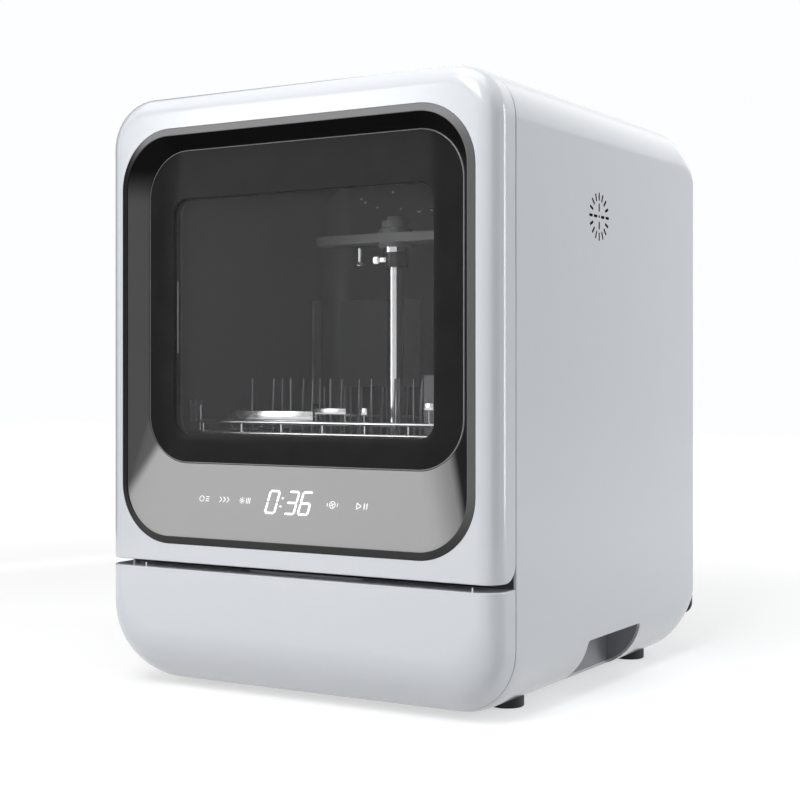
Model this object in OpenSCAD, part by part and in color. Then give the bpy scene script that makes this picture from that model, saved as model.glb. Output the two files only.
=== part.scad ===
// Countertop dishwasher with a drop-down glass door and a pull-out water-tank drawer.
// Origin: centre of the bounding box on the worktop. +X right, -Y front, +Z up.

/* [Cabinet] */
// Width of the cabinet
cab_w = 400; // [390:2:420]
// Height of the cabinet above its feet
cab_h = 528; // [524:2:544]
// Depth from the door's front plane to the back of the cabinet
cab_d = 440; // [436:2:460]
// Radius of the two long top edges
top_r = 44; // [38:1:48]
// Radius of the two long bottom edges
low_r = 53; // [46:1:56]
// Radius of the top and bottom edges at the back
rear_r = 40; // [30:1:46]
// Radius of the drawer's lower front edge
chin_r = 52; // [44:1:56]
// Wall of the painted outer shell
wall = 2.5; // [2:0.1:3]
// Height of the feet below the cabinet
foot_h = 4; // [3:0.5:6]

/* [Door] */
// Depth from the door's front plane to the seam with the cabinet
door_t = 34; // [33:1:38]
// Running gap between the door and the cabinet
seam = 1.2; // [1:0.1:2]
// Radius of the front edges of the door and drawer
front_r = 18; // [14:1:20]
// Width of the white border beside the dark ring
border = 18.3; // [18:0.1:22]
// Width of the dark ring round the opening
ring_w = 6.9; // [6:0.1:8]
// How far the ring stands proud of the door
ring_proud = 2; // [1:0.5:3]
// Corner radius of the opening
opening_r = 53; // [48:1:56]
// Depth of the glass behind the door's front plane
glass_set = 15.5; // [14:0.5:16]
// Slope of the recess beside the glass, measured across
flank = 11.6; // [10:0.2:14]
// Height of the slanted control panel below the glass
panel_h = 64.4; // [60:1:70]
// Width of the clear window in the glass
window_w = 270; // [250:2:280]
// Height of the clear window in the glass
window_h = 211; // [200:1:216]

/* [Drawer] */
// Height of the drawer front
base_h = 106; // [104:1:110]
// Gap between the drawer front and the door
pull_gap = 6; // [6:0.5:8]

/* [Wash chamber] */
// Space between the wash chamber and each side of the cabinet
side_space = 28; // [26:1:30]
// Height of the chamber floor above the worktop
tub_floor = 150; // [148:1:152]
// Inner height of the wash chamber
tub_h = 340; // [330:2:342]
// Inner depth of the wash chamber
tub_d = 293; // [290:1:298]
// Length of the lower spray arm
low_arm_l = 256; // [240:2:258]
// Length of the upper spray arm
top_arm_l = 176; // [160:2:190]
// Outer radius of the riser tube
riser_r = 7.8; // [7:0.1:9]
// Radius of the grille and its fan
fan_r = 21.5; // [19:0.5:22]

/* [Hidden] */
$fn = 48;
eps = 0.01;
small = 0.3;          // gap between pieces that lie against each other
hull_fn = 32;         // segments of the corners that hull() joins

// main planes
panel_t = 4;
y_front = -(cab_d + ring_proud + panel_t) / 2 + ring_proud;
y_back = y_front + cab_d;
y_seam = y_front + door_t;
y_shell = y_seam + seam;
half_w = cab_w / 2;
z_low = foot_h;
z_top = z_low + cab_h;
drawer_top = z_low + base_h;
door_low = drawer_top + pull_gap;
in_w = half_w - wall;

// door opening, recess and glass
open_hw = half_w - border;
open_z0 = door_low + 16.1;
open_z1 = z_top - 30.2;
ring_hw = open_hw - ring_w;
ring_z0 = open_z0 + ring_w;
ring_z1 = open_z1 - ring_w;
ring_r = opening_r - ring_w;
glass_hw = ring_hw - flank;
glass_z0 = ring_z0 + panel_h;
glass_z1 = ring_z1 - flank + 0.8;
glass_r = ring_r - 3;
y_glass = y_front + glass_set;
glass_t = 4;
window_z0 = glass_z0 + 26;
window_r = 14;

// hinge axis of the door, and the slide of the drawer
hinge_in = 12;
hinge_y = y_front + hinge_in;
hinge_z = door_low + hinge_in;
pin_r = 3;
run_fit = 0.08;       // radial clearance of turning parts
arm_x = half_w - 22;
arm_t = 6;

// wash chamber
tub_wall = 2;
tub_hw = half_w - side_space;
tub_y0 = y_seam + 4;
tub_y1 = tub_y0 + 2 + tub_d;
tub_z1 = tub_floor + tub_h;
tub_corner = 30;
spin_y = tub_y0 + 141;
filter_x = tub_hw - 72;
filter_y = spin_y + 104;
filter_r = 36;
low_arm_z = tub_floor + 10;
top_arm_z = low_arm_z + 243;
riser_top = top_arm_z + 20;
heater_r = tub_hw - 76;
rack_z = tub_floor + 54;
rack_rim_z = tub_floor + 88;
rack_hw = tub_hw - 17;
rack_y0 = tub_y0 + 15;
rack_y1 = tub_y1 - 12;
wire = 3.2;
fan_y = y_front + 199;
fan_z = z_low + 419.5;

// space under and behind the chamber
deck_z = drawer_top - 3;
deck_back = spin_y + 70;
hose_z = tub_floor - 17;
pump_y = y_back - 54;
pump_z = z_low + 54;
pump_x = -half_w + 158;
hose_r = 7;

// drawer
tray_hw = half_w - 50;
tray_back = spin_y + 38;
tray_z = z_low + 8;
tank_wall = 2.5;
dock_x = -half_w + 100;

// Extrudes a shape drawn in X and Z from y0 back to y1
module along_y(y0, y1) {
    translate([0, y1, 0]) rotate([90, 0, 0]) linear_extrude(y1 - y0) children();
}

// Extrudes a shape drawn in Y and Z from x0 to x1
module along_x(x0, x1) {
    translate([x0, 0, 0]) rotate([90, 0, 90]) linear_extrude(x1 - x0) children();
}

// Rectangle with its own radius at the bottom and at the top corners
module rounded_box_2d(x0, x1, z0, z1, r_low, r_high) {
    translate([x0, z0 + r_low]) square([x1 - x0, z1 - z0 - r_low - r_high]);
    translate([x0 + r_low, z0]) square([x1 - x0 - 2 * r_low, r_low + eps]);
    translate([x0 + r_high, z1 - r_high - eps]) square([x1 - x0 - 2 * r_high, r_high + eps]);
    for (x = [x0 + r_low, x1 - r_low]) translate([x, z0 + r_low]) circle(r_low);
    for (x = [x0 + r_high, x1 - r_high]) translate([x, z1 - r_high]) circle(r_high);
}

// Same rectangle with one radius
module rounded_2d(x0, x1, z0, z1, r) {
    rounded_box_2d(x0, x1, z0, z1, r, r);
}

module rod_x(x0, x1, y, z, r) {
    translate([x0, y, z]) rotate([0, 90, 0]) cylinder(h = x1 - x0, r = r);
}

module rod_y(x, y0, y1, z, r) {
    translate([x, y1, z]) rotate([90, 0, 0]) cylinder(h = y1 - y0, r = r);
}

module rod_z(x, y, z0, z1, r) {
    translate([x, y, z0]) cylinder(h = z1 - z0, r = r);
}

module block(x0, x1, y0, y1, z0, z1) {
    translate([x0, y0, z0]) cube([x1 - x0, y1 - y0, z1 - z0]);
}

// Places a child and its mirror image on the other side
module both_sides() {
    children();
    mirror([1, 0, 0]) children();
}

// Solid hose of radius r through a list of points, with a moulded ball at each bend
module hose(points, r) {
    for (i = [0 : len(points) - 2]) {
        a = points[i];
        b = points[i + 1];
        d = b - a;
        l = norm(d);
        translate(a) rotate([0, acos(d[2] / l), atan2(d[1], d[0])]) cylinder(h = l, r = r);
        if (i > 0) translate(a) rotate([0, 0, 45]) sphere(r + 1);
    }
}

// ---------------------------------------------------------------- cabinet

// Side outline of the whole cabinet, made smaller by inset
module side_outline(inset) {
    lo = z_low + inset;
    hi = z_top - inset;
    front = y_front + inset;
    back = y_back - inset;
    rr = rear_r - inset;
    cr = chin_r - inset;
    translate([front, lo + cr]) square([back - front, hi - lo - cr - rr]);
    translate([front + cr, lo]) square([back - front - cr - rr, cr + eps]);
    translate([front, hi - rr - eps]) square([back - front - rr, rr + eps]);
    translate([front + cr, lo + cr]) circle(cr);
    translate([back - rr, lo + rr]) circle(rr);
    translate([back - rr, hi - rr]) circle(rr);
    translate([back - rr - eps, lo + rr]) square([rr + eps, hi - lo - 2 * rr]);
}

// Cabinet form behind the seam, made smaller by inset
module cabinet_form(inset, y0, y1) {
    intersection() {
        along_y(y0, y1)
            rounded_box_2d(-half_w + inset, half_w - inset, z_low + inset, z_top - inset,
                low_r - inset, top_r - inset);
        along_x(-half_w, half_w) side_outline(inset);
    }
}

panel_hw = half_w - 4;
panel_z0 = z_low + 33;
panel_z1 = z_low + 401;
hold_y0 = y_front + 178;
hold_y1 = hold_y0 + 119;
hold_z = z_low + 44;
hold_x = half_w - 35;
foot_x = half_w - 44;
foot_r = 15;
foot_ys = [y_front + 104, y_back - 68];
panel_screw_xs = [-panel_hw + 9, panel_hw - 9];
panel_screw_zs = [panel_z0 + 14, panel_z0 + 127, panel_z0 + 240, panel_z1 - 14];
base_screw_x = half_w - 62;
base_screw_ys = [y_front + 72, y_front + 225, y_back - 90];
screw_r = 1.5;

// Radial slits of the round side grille, centre at the origin, drawn in Y and Z
module grille_slits() {
    slit = 1.9;
    for (i = [0 : 15]) rotate(i * 22.5) translate([fan_r * 0.66, -slit / 2]) square([fan_r * 0.34, slit]);
    for (i = [0 : 3]) rotate(i * 90) translate([fan_r * 0.2, -slit / 2]) square([fan_r * 0.34, slit]);
    circle(1.2);
}

module outer_shell() {
    color("whitesmoke") difference() {
        cabinet_form(0, y_shell, y_back);
        cabinet_form(wall, y_shell - 1, y_back - wall);
        // openings for the base tray and the rear panel
        block(-half_w + 70, half_w - 70, y_shell - 1, y_back - 45, z_low - 1, z_low + wall + 1);
        along_y(y_back - wall - 1, y_back + 1)
            rounded_2d(-panel_hw + 18, panel_hw - 18, panel_z0 + 10, panel_z1 - 24, 6);
        both_sides() block(hold_x, half_w + 1, hold_y0, hold_y1, z_low - 1, hold_z);
        for (x = [-foot_x, foot_x], y = foot_ys) rod_z(x, y, z_low - 1, z_low + 30, foot_r + small);
        for (x = [-base_screw_x, base_screw_x], y = base_screw_ys)
            rod_z(x, y, z_low - 1, z_low + 5, screw_r + 0.1);
        for (x = panel_screw_xs, z = panel_screw_zs)
            rod_y(x, y_back - wall - 1, y_back + 1, z, screw_r + 0.1);
        translate([0, fan_y, fan_z]) along_x(in_w - 1, half_w + 1) grille_slits();
    }
}

module base_tray() {
    z0 = z_low + wall + 0.1;
    hw = half_w - low_r - 1;
    color("dimgray") difference() {
        union() {
            block(-hw, hw, y_front + chin_r + 4, y_back - rear_r - 3, z0, z0 + 3);
            // raised ribs across the tray
            for (y = [y_front + 80 : 60 : y_back - 60])
                block(-hw + 20, hw - 20, y, y + 2, z0 + 3 - eps, z0 + 4.2);
            for (x = [-hw, hw - 2.5])
                block(x, x + 2.5, y_front + chin_r + 4, y_back - rear_r - 3, z0, z0 + 4.6);
        }
        for (x = [-foot_x, foot_x], y = foot_ys) rod_z(x, y, z0 - 1, z0 + 9, foot_r + small);
        for (x = [-base_screw_x, base_screw_x], y = base_screw_ys) rod_z(x, y, z0 - 1, z0 + 9, screw_r + 0.1);
    }
}

recess_x0 = half_w - 130;
recess_x1 = half_w - 32;
recess_z0 = z_low + 50;
recess_z1 = z_low + 108;
recess_in = 32;
plate_x0 = recess_x0 - 12;
plate_z1 = recess_z1 + 6;
inlet_x = half_w - 102;
drain_x = half_w - 58;
plug_z = z_low + 78;
gland_x = -half_w + 70;
gland_r = 8;

module back_sheet() {
    along_y(y_back, y_back + panel_t)
        rounded_2d(-panel_hw, panel_hw, panel_z0, panel_z1, 12);
}

module rear_panel() {
    color("dimgray") difference() {
        back_sheet();
        block(plate_x0 - small, panel_hw + 1, y_back - 1, y_back + panel_t + 1,
            panel_z0 - 1, plate_z1 + small);
        rod_y(gland_x, y_back - 1, y_back + panel_t + 1, plug_z, gland_r + 0.1);
        for (x = panel_screw_xs, z = panel_screw_zs) {
            rod_y(x, y_back - 1, y_back + panel_t + 1, z, screw_r + 0.1);
            rod_y(x, y_back + 1.8, y_back + panel_t + 1, z, 3.6);
        }
        // cooling slots
        for (i = [0 : 8]) along_y(y_back - 1, y_back + panel_t + 1)
            rounded_2d(-70, 70, z_low + 300 + i * 8, z_low + 303 + i * 8, 1.4);
    }
}

// separate corner of the rear panel that frames the water connectors
module plug_plate() {
    x = panel_screw_xs[1];
    z = panel_screw_zs[0];
    color("dimgray") difference() {
        intersection() {
            back_sheet();
            block(plate_x0, panel_hw + 1, y_back - 1, y_back + panel_t + 1, panel_z0 - 1, plate_z1);
        }
        block(recess_x0, recess_x1, y_back - 1, y_back + panel_t + 1, recess_z0, recess_z1);
        rod_y(x, y_back - 1, y_back + panel_t + 1, z, screw_r + 0.1);
        rod_y(x, y_back + 1.8, y_back + panel_t + 1, z, 3.6);
    }
}

// pocket round the water connectors, behind the plate
module hose_pocket() {
    y0 = y_back - recess_in;
    y1 = y_back - 0.1;
    t = 2;
    rim = 4;
    color("dimgray") difference() {
        union() {
            block(recess_x0 - t, recess_x1 + t, y0, y1, recess_z0 - t, recess_z1 + t);
            block(recess_x0 - t - rim, recess_x1 + t + rim, y1 - t, y1,
                recess_z0 - t - rim, recess_z1 + t + rim);
        }
        block(recess_x0, recess_x1, y0 + t, y1 + 1, recess_z0, recess_z1);
        rod_y(inlet_x, y0 - 1, y0 + t + 1, plug_z, 15);
        rod_y(drain_x, y0 - 1, y0 + t + 1, plug_z, 10.5);
    }
}

module panel_screws() {
    color("silver") for (x = panel_screw_xs, z = panel_screw_zs) difference() {
        union() {
            rod_y(x, y_back + 1.9, y_back + 3.8, z, 3.3);
            rod_y(x, y_back - 9, y_back + 2, z, screw_r);
        }
        block(x - 2, x + 2, y_back + 2.8, y_back + 5, z - 0.4, z + 0.4);
        block(x - 0.4, x + 0.4, y_back + 2.8, y_back + 5, z - 2, z + 2);
    }
}

module base_screws() {
    color("silver") for (x = [-base_screw_x, base_screw_x], y = base_screw_ys) difference() {
        union() {
            rod_z(x, y, z_low - 2, z_low - 0.1, 3.4);
            rod_z(x, y, z_low - 0.2, z_low + 6.5, screw_r);
        }
        block(x - 2, x + 2, y - 0.4, y + 0.4, z_low - 3, z_low - 1.1);
    }
}

module feet() {
    color("#3a3a3c") for (x = [-foot_x, foot_x], y = foot_ys) difference() {
        union() {
            rod_z(x, y, 0.8, z_low + 8, foot_r);
            rod_z(x, y, 0, 1, foot_r - 1);
        }
        rod_z(x, y, -1, 1.5, 4);
    }
}

module handhold_cups() {
    t = 2;
    color("lightgray") both_sides() intersection() {
        difference() {
            block(hold_x - t, half_w, hold_y0 - t - small, hold_y1 + t + small, z_low, hold_z + t + small);
            block(hold_x, half_w + 1, hold_y0 - small, hold_y1 + small, z_low - 1, hold_z + small);
        }
        cabinet_form(wall + small, y_shell, y_back);
    }
}

module support_deck() {
    color("gray") union() {
        block(-in_w + 1, in_w - 1, y_shell + 4, deck_back, deck_z, deck_z + 2);
        for (y = [y_shell + 20 : 45 : deck_back]) block(-120, 120, y, y + 2, deck_z + 2 - eps, deck_z + 8);
    }
}

bezel_y = y_seam + 6.3;

module front_bezel() {
    color("gray") difference() {
        intersection() {
            cabinet_form(wall + small, bezel_y, bezel_y + 3);
            block(-half_w, half_w, y_front, y_back, drawer_top, z_top);
        }
        along_y(bezel_y - 1, bezel_y + 4)
            rounded_2d(-tub_hw - 2.5, tub_hw + 2.5, tub_floor - 2.5, tub_z1 + 2.5, tub_corner + 2.5);
        both_sides() block(arm_x - 1, arm_x + arm_t + 1, bezel_y - 1, bezel_y + 4, hinge_z - 8, hinge_z + 8);
        block(-16, 16, bezel_y - 1, bezel_y + 4, tub_z1 + 20, tub_z1 + 37);
    }
}

// ---------------------------------------------------------------- wash chamber

module tub_form(inset, y0, y1) {
    intersection() {
        along_y(y0, y1)
            rounded_2d(-tub_hw + inset, tub_hw - inset, tub_floor + inset, tub_z1 - inset,
                tub_corner - inset);
        translate([0, 0, tub_floor - 10]) linear_extrude(tub_h + 20)
            rounded_box_2d(-tub_hw + inset, tub_hw - inset, tub_y0 - 60, y1, 25, 25);
    }
}

module wash_tub() {
    flange = 14;
    color("lightsteelblue") difference() {
        union() {
            tub_form(-tub_wall, tub_y0, tub_y1 + tub_wall);
            along_y(tub_y0, tub_y0 + 2)
                rounded_2d(-tub_hw - flange, tub_hw + flange, tub_floor - 12, tub_z1 + flange + 2,
                    tub_corner + 10);
        }
        tub_form(0, tub_y0 - 1, tub_y1);
        rod_z(filter_x, filter_y, tub_floor - 5, tub_floor + 5, filter_r + small);
        rod_z(0, spin_y, tub_floor - 5, tub_floor + 5, 16);
        for (a = [-1, 1]) rod_z(heater_leg_x(a), heater_leg_y(a), tub_floor - 5, tub_floor + 5, 4);
        rod_x(tub_hw - 3, tub_hw + 5, fan_y, fan_z, fan_r - 4);
        block(-tub_hw + 32, -tub_hw + 100, tub_y1 - 1, tub_y1 + 5, tub_floor + 130, tub_floor + 200);
    }
}

module tub_gasket() {
    g = 10;
    color("#4a4a4c") difference() {
        along_y(y_seam + 0.3, tub_y0 - 0.05)
            rounded_2d(-tub_hw - g, tub_hw + g, tub_floor - g + 1, tub_z1 + g, tub_corner + 6);
        along_y(y_seam - 1, tub_y0 + 1)
            rounded_2d(-tub_hw - 1, tub_hw + 1, tub_floor - 1, tub_z1 + 1, tub_corner);
    }
}

module insulation_pad() {
    color("#55524c") block(-tub_hw + 6, tub_hw - 6, tub_y0 + 14, tub_y1 - 8,
        tub_z1 + tub_wall + 0.1, tub_z1 + tub_wall + 9);
}

module sump() {
    top = tub_floor - tub_wall - 0.1;
    bottom = top - 30;
    color("gray") difference() {
        union() {
            rod_z(filter_x, filter_y, bottom, top, filter_r + 6);
            rod_z(0, spin_y, bottom + 4, top, 24);
            // drain and suction stubs
            rod_z(filter_x, filter_y, bottom - 12, bottom + eps, 9);
            rod_y(filter_x - 15, filter_y + 30, filter_y + 56, hose_z, 9);
            rod_x(filter_x - 56, filter_x - 30, filter_y, bottom + 10, 8);
            rod_y(0, spin_y + 20, spin_y + 36, hose_z, 9);
            // web that joins the well to the arm's outlet
            translate([0, spin_y, bottom + 6]) rotate(atan2(filter_y - spin_y, filter_x))
                block(10, norm([filter_x, filter_y - spin_y]) - filter_r, -7, 7, 0, top - bottom - 8);
        }
        rod_z(filter_x, filter_y, bottom + 3, top + 1, filter_r + 2);
        rod_z(0, spin_y, bottom + 8, top + 1, riser_r + 0.1);
        rod_z(filter_x, filter_y, bottom - 13, bottom + 4, 6);
        rod_y(filter_x - 15, filter_y + 20, filter_y + 57, hose_z, 6);
        rod_x(filter_x - 57, filter_x - 30, filter_y, bottom + 10, 5);
        rod_y(0, spin_y, spin_y + 37, hose_z, 6);
    }
}

module filter_cup() {
    z0 = tub_floor - 24;
    color("gainsboro") difference() {
        union() {
            rod_z(filter_x, filter_y, z0, tub_floor + 2, filter_r - 0.5);
            rod_z(filter_x, filter_y, tub_floor + 0.1, tub_floor + 2.2, filter_r + 5);
            block(filter_x - 3, filter_x + 3, filter_y - 24, filter_y + 24, tub_floor, tub_floor + 9);
        }
        difference() {
            rod_z(filter_x, filter_y, z0 + 2, tub_floor + 3, filter_r - 2.5);
            block(filter_x - 3, filter_x + 3, filter_y - filter_r, filter_y + filter_r,
                tub_floor - 3, tub_floor + 9);
        }
        // filter slots round the cup
        for (i = [0 : 11]) translate([filter_x, filter_y, 0]) rotate(i * 30 + 15)
            block(filter_r - 5, filter_r + 2, -1.6, 1.6, z0 + 5, tub_floor - 4);
    }
}

module arm_post() {
    color("gray") difference() {
        union() {
            rod_z(0, spin_y, tub_floor - 2, tub_floor + 1, 15.7);
            rod_z(0, spin_y, tub_floor + 0.1, tub_floor + 3, 22);
            rod_z(0, spin_y, tub_floor + 2, low_arm_z - 0.3, 13);
        }
        rod_z(0, spin_y, tub_floor - 3, low_arm_z, riser_r + 0.02);
    }
}

module riser_tube() {
    color("silver") difference() {
        rod_z(0, spin_y, tub_floor - 15, riser_top, riser_r);
        rod_z(0, spin_y, tub_floor - 16, riser_top - 1, riser_r - 1.2);
        // jets that feed the two arms
        for (z = [low_arm_z + 8, top_arm_z + 9], a = [0 : 90 : 270])
            translate([0, spin_y, z]) rotate([0, 90, a + 45]) cylinder(h = riser_r + 1, r = 2);
    }
}

module arm_collar() {
    color("silver") difference() {
        union() {
            rod_z(0, spin_y, top_arm_z - 13, top_arm_z - 4, 11);
            rod_z(0, spin_y, top_arm_z - 5, top_arm_z - 0.3, 14);
        }
        rod_z(0, spin_y, top_arm_z - 14, top_arm_z, riser_r + 0.02);
    }
}

module arm_cap() {
    color("gainsboro") difference() {
        union() {
            rod_z(0, spin_y, riser_top - 1.7, riser_top + 5, 13);
            rod_z(0, spin_y, riser_top + 4, riser_top + 9, 8);
        }
        rod_z(0, spin_y, riser_top - 2, riser_top + 0.1, riser_r + 0.02);
    }
}

// Spray arm with a hub, two hollow blades and a row of jets, centre at the origin
module spray_arm(length, height, hub_r, blade_w) {
    half = length / 2;
    difference() {
        union() {
            cylinder(h = height, r = hub_r);
            for (s = [-1, 1]) {
                translate([0, 0, height * 0.25]) linear_extrude(height * 0.5)
                    polygon([[0, -blade_w / 2], [s * (half - blade_w * 0.35), -blade_w * 0.35],
                        [s * (half - blade_w * 0.35), blade_w * 0.35], [0, blade_w / 2]]);
                translate([s * (half - blade_w * 0.35), 0, height * 0.25])
                    cylinder(h = height * 0.5, r = blade_w * 0.35);
            }
        }
        translate([0, 0, -1]) cylinder(h = height + 2, r = riser_r + run_fit);
        // inner channel
        for (s = [-1, 1]) translate([0, 0, height * 0.5])
            rotate([0, s * 90, 0]) cylinder(h = half - blade_w * 0.5, r = height * 0.14);
        // jets
        for (s = [-1, 1], k = [0.34, 0.5, 0.66, 0.82])
            translate([s * half * k, s * blade_w * 0.12, height * 0.5])
            cylinder(h = height, r = 1.5);
    }
}

module lower_spray_arm() {
    color("gainsboro") translate([0, spin_y, low_arm_z]) spray_arm(low_arm_l, 17, 17, 34);
}

module upper_spray_arm() {
    color("gainsboro") translate([0, spin_y, top_arm_z]) spray_arm(top_arm_l, 17, 16, 34);
}

function heater_leg_x(s) = s * 14;
function heater_leg_y(s) = spin_y + sqrt(heater_r * heater_r - 14 * 14);

module heater_ring() {
    bar = 3.2;
    color("silver") union() {
        difference() {
            translate([0, spin_y, tub_floor + 5]) rotate_extrude() translate([heater_r, 0]) circle(bar);
            block(-14, 14, spin_y + heater_r / 2, spin_y + heater_r + 9, tub_floor, tub_floor + 10);
        }
        for (s = [-1, 1]) rod_z(heater_leg_x(s), heater_leg_y(s), tub_floor - 16, tub_floor + 8, bar + 0.4);
    }
}

module rack_rails() {
    color("gainsboro") both_sides()
        block(tub_hw - 8, tub_hw - 0.2, tub_y0 + 8, tub_y1 - 28, rack_z - 6, rack_z - 2);
}

module rack_outline(inset) {
    rounded_2d(-rack_hw + inset, rack_hw - inset, rack_y0 + inset, rack_y1 - inset, 24 - inset);
}

module rack_ring(z, band) {
    translate([0, 0, z]) linear_extrude(wire) difference() {
        rack_outline(0);
        rack_outline(band);
    }
}

rack_xs = [for (i = [-6 : 6]) i * 22];
rack_ys = [for (i = [1 : 10]) rack_y0 + i * (rack_y1 - rack_y0) / 11];
wire_w = 2.6;

// Flat grid with a hole for the riser tube, and the bars that ride on the rails
module rack_floor() {
    color("silver") union() {
        rack_ring(rack_z, wire);
        translate([0, 0, rack_z]) linear_extrude(wire) difference() {
            intersection() {
                rack_outline(1);
                union() {
                    for (x = rack_xs)
                        translate([x - wire_w / 2, rack_y0]) square([wire_w, rack_y1 - rack_y0]);
                    for (y = rack_ys) translate([-rack_hw, y - wire_w / 2]) square([2 * rack_hw, wire_w]);
                }
            }
            translate([0, spin_y]) circle(17);
        }
        translate([0, spin_y, rack_z]) difference() {
            cylinder(h = wire, r = 19);
            translate([0, 0, -1]) cylinder(h = wire + 2, r = 16);
        }
        both_sides() block(rack_hw - 1, tub_hw - 2, rack_y0 + 24, rack_y1 - 24, rack_z - 1.7, rack_z + 1);
    }
}

module rack_rim() {
    color("silver") rack_ring(rack_rim_z, 4);
}

// Upright wires between the grid and the rim
module rack_uprights() {
    z0 = rack_z + wire + 0.02;
    z1 = rack_rim_z - 0.02;
    color("silver") union() {
        for (x = [for (i = [-3 : 3]) i * 44], y = [rack_y0, rack_y1 - wire_w])
            block(x - wire_w / 2, x + wire_w / 2, y, y + wire_w, z0, z1);
        for (y = [for (i = [1 : 2 : 9]) rack_ys[i]], x = [-rack_hw, rack_hw - wire_w])
            block(x, x + wire_w, y - wire_w / 2, y + wire_w / 2, z0, z1);
    }
}

// Rows of tines that hold the plates, none where the cutlery basket stands
module rack_tines() {
    z0 = rack_z + wire + 0.02;
    color("silver") union() {
        for (x = [for (i = [-5 : 5]) if (i != 0) i * 22], y = [rack_ys[1], rack_ys[3]])
            if (x < basket_x - 10) rod_z(x, y, z0, rack_rim_z + 42, 1.5);
        for (x = [for (i = [-5 : 5]) i * 22], y = [rack_ys[6], rack_ys[8]])
            rod_z(x, y, z0, rack_rim_z + 34, 1.5);
    }
}

basket_x = rack_hw - 59;

module cutlery_basket() {
    x0 = basket_x;
    x1 = rack_hw - 9;
    y0 = rack_y0 + 14;
    y1 = spin_y - 10;
    z0 = rack_z + wire + 0.3;
    z1 = rack_rim_z + 44;
    color("darkgray") difference() {
        block(x0, x1, y0, y1, z0, z1);
        for (half = [[y0 + 2, (y0 + y1) / 2 - 1], [(y0 + y1) / 2 + 1, y1 - 2]])
            block(x0 + 2, x1 - 2, half[0], half[1], z0 + 2, z1 + 1);
        // slots in the walls
        for (y = [y0 + 12 : 24 : y1 - 16]) block(x0 - 1, x1 + 1, y, y + 5, z0 + 14, z0 + 58);
    }
}

module vent_cover() {
    color("gainsboro") difference() {
        along_y(tub_y1 - 4, tub_y1 - 0.2)
            rounded_2d(-tub_hw + 22, -tub_hw + 110, tub_floor + 120, tub_floor + 210, 8);
        for (z = [tub_floor + 131 : 9 : tub_floor + 194])
            block(-tub_hw + 32, -tub_hw + 100, tub_y1 - 5, tub_y1 + 1, z, z + 3);
    }
}

fan_x0 = tub_hw + 8;
fan_x1 = fan_x0 + 14;

module fan_duct() {
    color("gray") difference() {
        rod_x(tub_hw + tub_wall + 0.1, fan_x0 - 0.1, fan_y, fan_z, fan_r - 1);
        rod_x(tub_hw, fan_x0 + 1, fan_y, fan_z, fan_r - 3);
    }
}

module fan_housing() {
    h = fan_r + 2;
    color("#2c2c2e") difference() {
        union() {
            difference() {
                along_x(fan_x0, fan_x1) rounded_2d(fan_y - h, fan_y + h, fan_z - h, fan_z + h, 5);
                rod_x(fan_x0 - 1, fan_x1 + 1, fan_y, fan_z, fan_r - 1);
            }
            rod_x(fan_x0, fan_x0 + 5, fan_y, fan_z, 8);
            for (i = [0 : 3]) translate([fan_x0, fan_y, fan_z]) rotate([i * 90 + 45, 0, 0])
                block(0, 2, -1.2, 1.2, 5, fan_r);
        }
        rod_x(fan_x0 + 1, fan_x0 + 6, fan_y, fan_z, 1.5 + run_fit);
    }
}

module fan_impeller() {
    color("#3c3c3e") union() {
        rod_x(fan_x0 + 5.5, fan_x1 - 1, fan_y, fan_z, 8);
        rod_x(fan_x0 + 1.5, fan_x0 + 6, fan_y, fan_z, 1.5);
        for (i = [0 : 6]) translate([(fan_x0 + fan_x1) / 2 + 2, fan_y, fan_z]) rotate([i * 360 / 7, 0, 0])
            rotate([0, 0, 38]) block(-0.6, 0.6, -4.4, 4.4, 6, fan_r - 3);
    }
}

// ---------------------------------------------------------------- pumps and water

shaft_r = 4;

module pump_volute() {
    color("gray") difference() {
        union() {
            rod_x(pump_x - 16, pump_x + 16, pump_y, pump_z, 38);
            rod_x(pump_x + 15, pump_x + 30, pump_y, pump_z, 12);
            rod_z(pump_x, pump_y + 24, pump_z, pump_z + 50, 9);
        }
        rod_x(pump_x - 13, pump_x + 13, pump_y, pump_z, 34);
        rod_x(pump_x, pump_x + 31, pump_y, pump_z, 8);
        rod_x(pump_x - 17, pump_x, pump_y, pump_z, shaft_r + run_fit);
        rod_z(pump_x, pump_y + 24, pump_z, pump_z + 51, 6);
    }
}

module pump_impeller() {
    color("gainsboro") union() {
        rod_x(pump_x - 10, pump_x - 7, pump_y, pump_z, 28);
        rod_x(pump_x - 70, pump_x + 5, pump_y, pump_z, shaft_r);
        for (i = [0 : 5]) translate([pump_x, pump_y, pump_z]) rotate([i * 60, 0, 0])
            block(-8, 5, -1.2, 1.2, 3, 27);
    }
}

module pump_motor() {
    color("#4a4d52") difference() {
        union() {
            rod_x(pump_x - 96, pump_x - 20, pump_y, pump_z, 31);
            rod_x(pump_x - 101, pump_x - 96 + eps, pump_y, pump_z, 12);
            for (s = [-1, 1]) block(pump_x - 84, pump_x - 34, pump_y + s * 22 - 3, pump_y + s * 22 + 3,
                z_low + 8, pump_z - 18);
        }
        rod_x(pump_x - 80, pump_x, pump_y, pump_z, shaft_r + run_fit);
        for (x = [pump_x - 86 : 12 : pump_x - 30]) difference() {
            rod_x(x, x + 3, pump_y, pump_z, 33);
            rod_x(x - 1, x + 4, pump_y, pump_z, 28.5);
            block(x - 1, x + 4, pump_y - 40, pump_y + 40, z_low, pump_z - 10);
        }
    }
}

drain_pump_x = half_w - 154;
drain_pump_y = y_back - 76;

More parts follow.
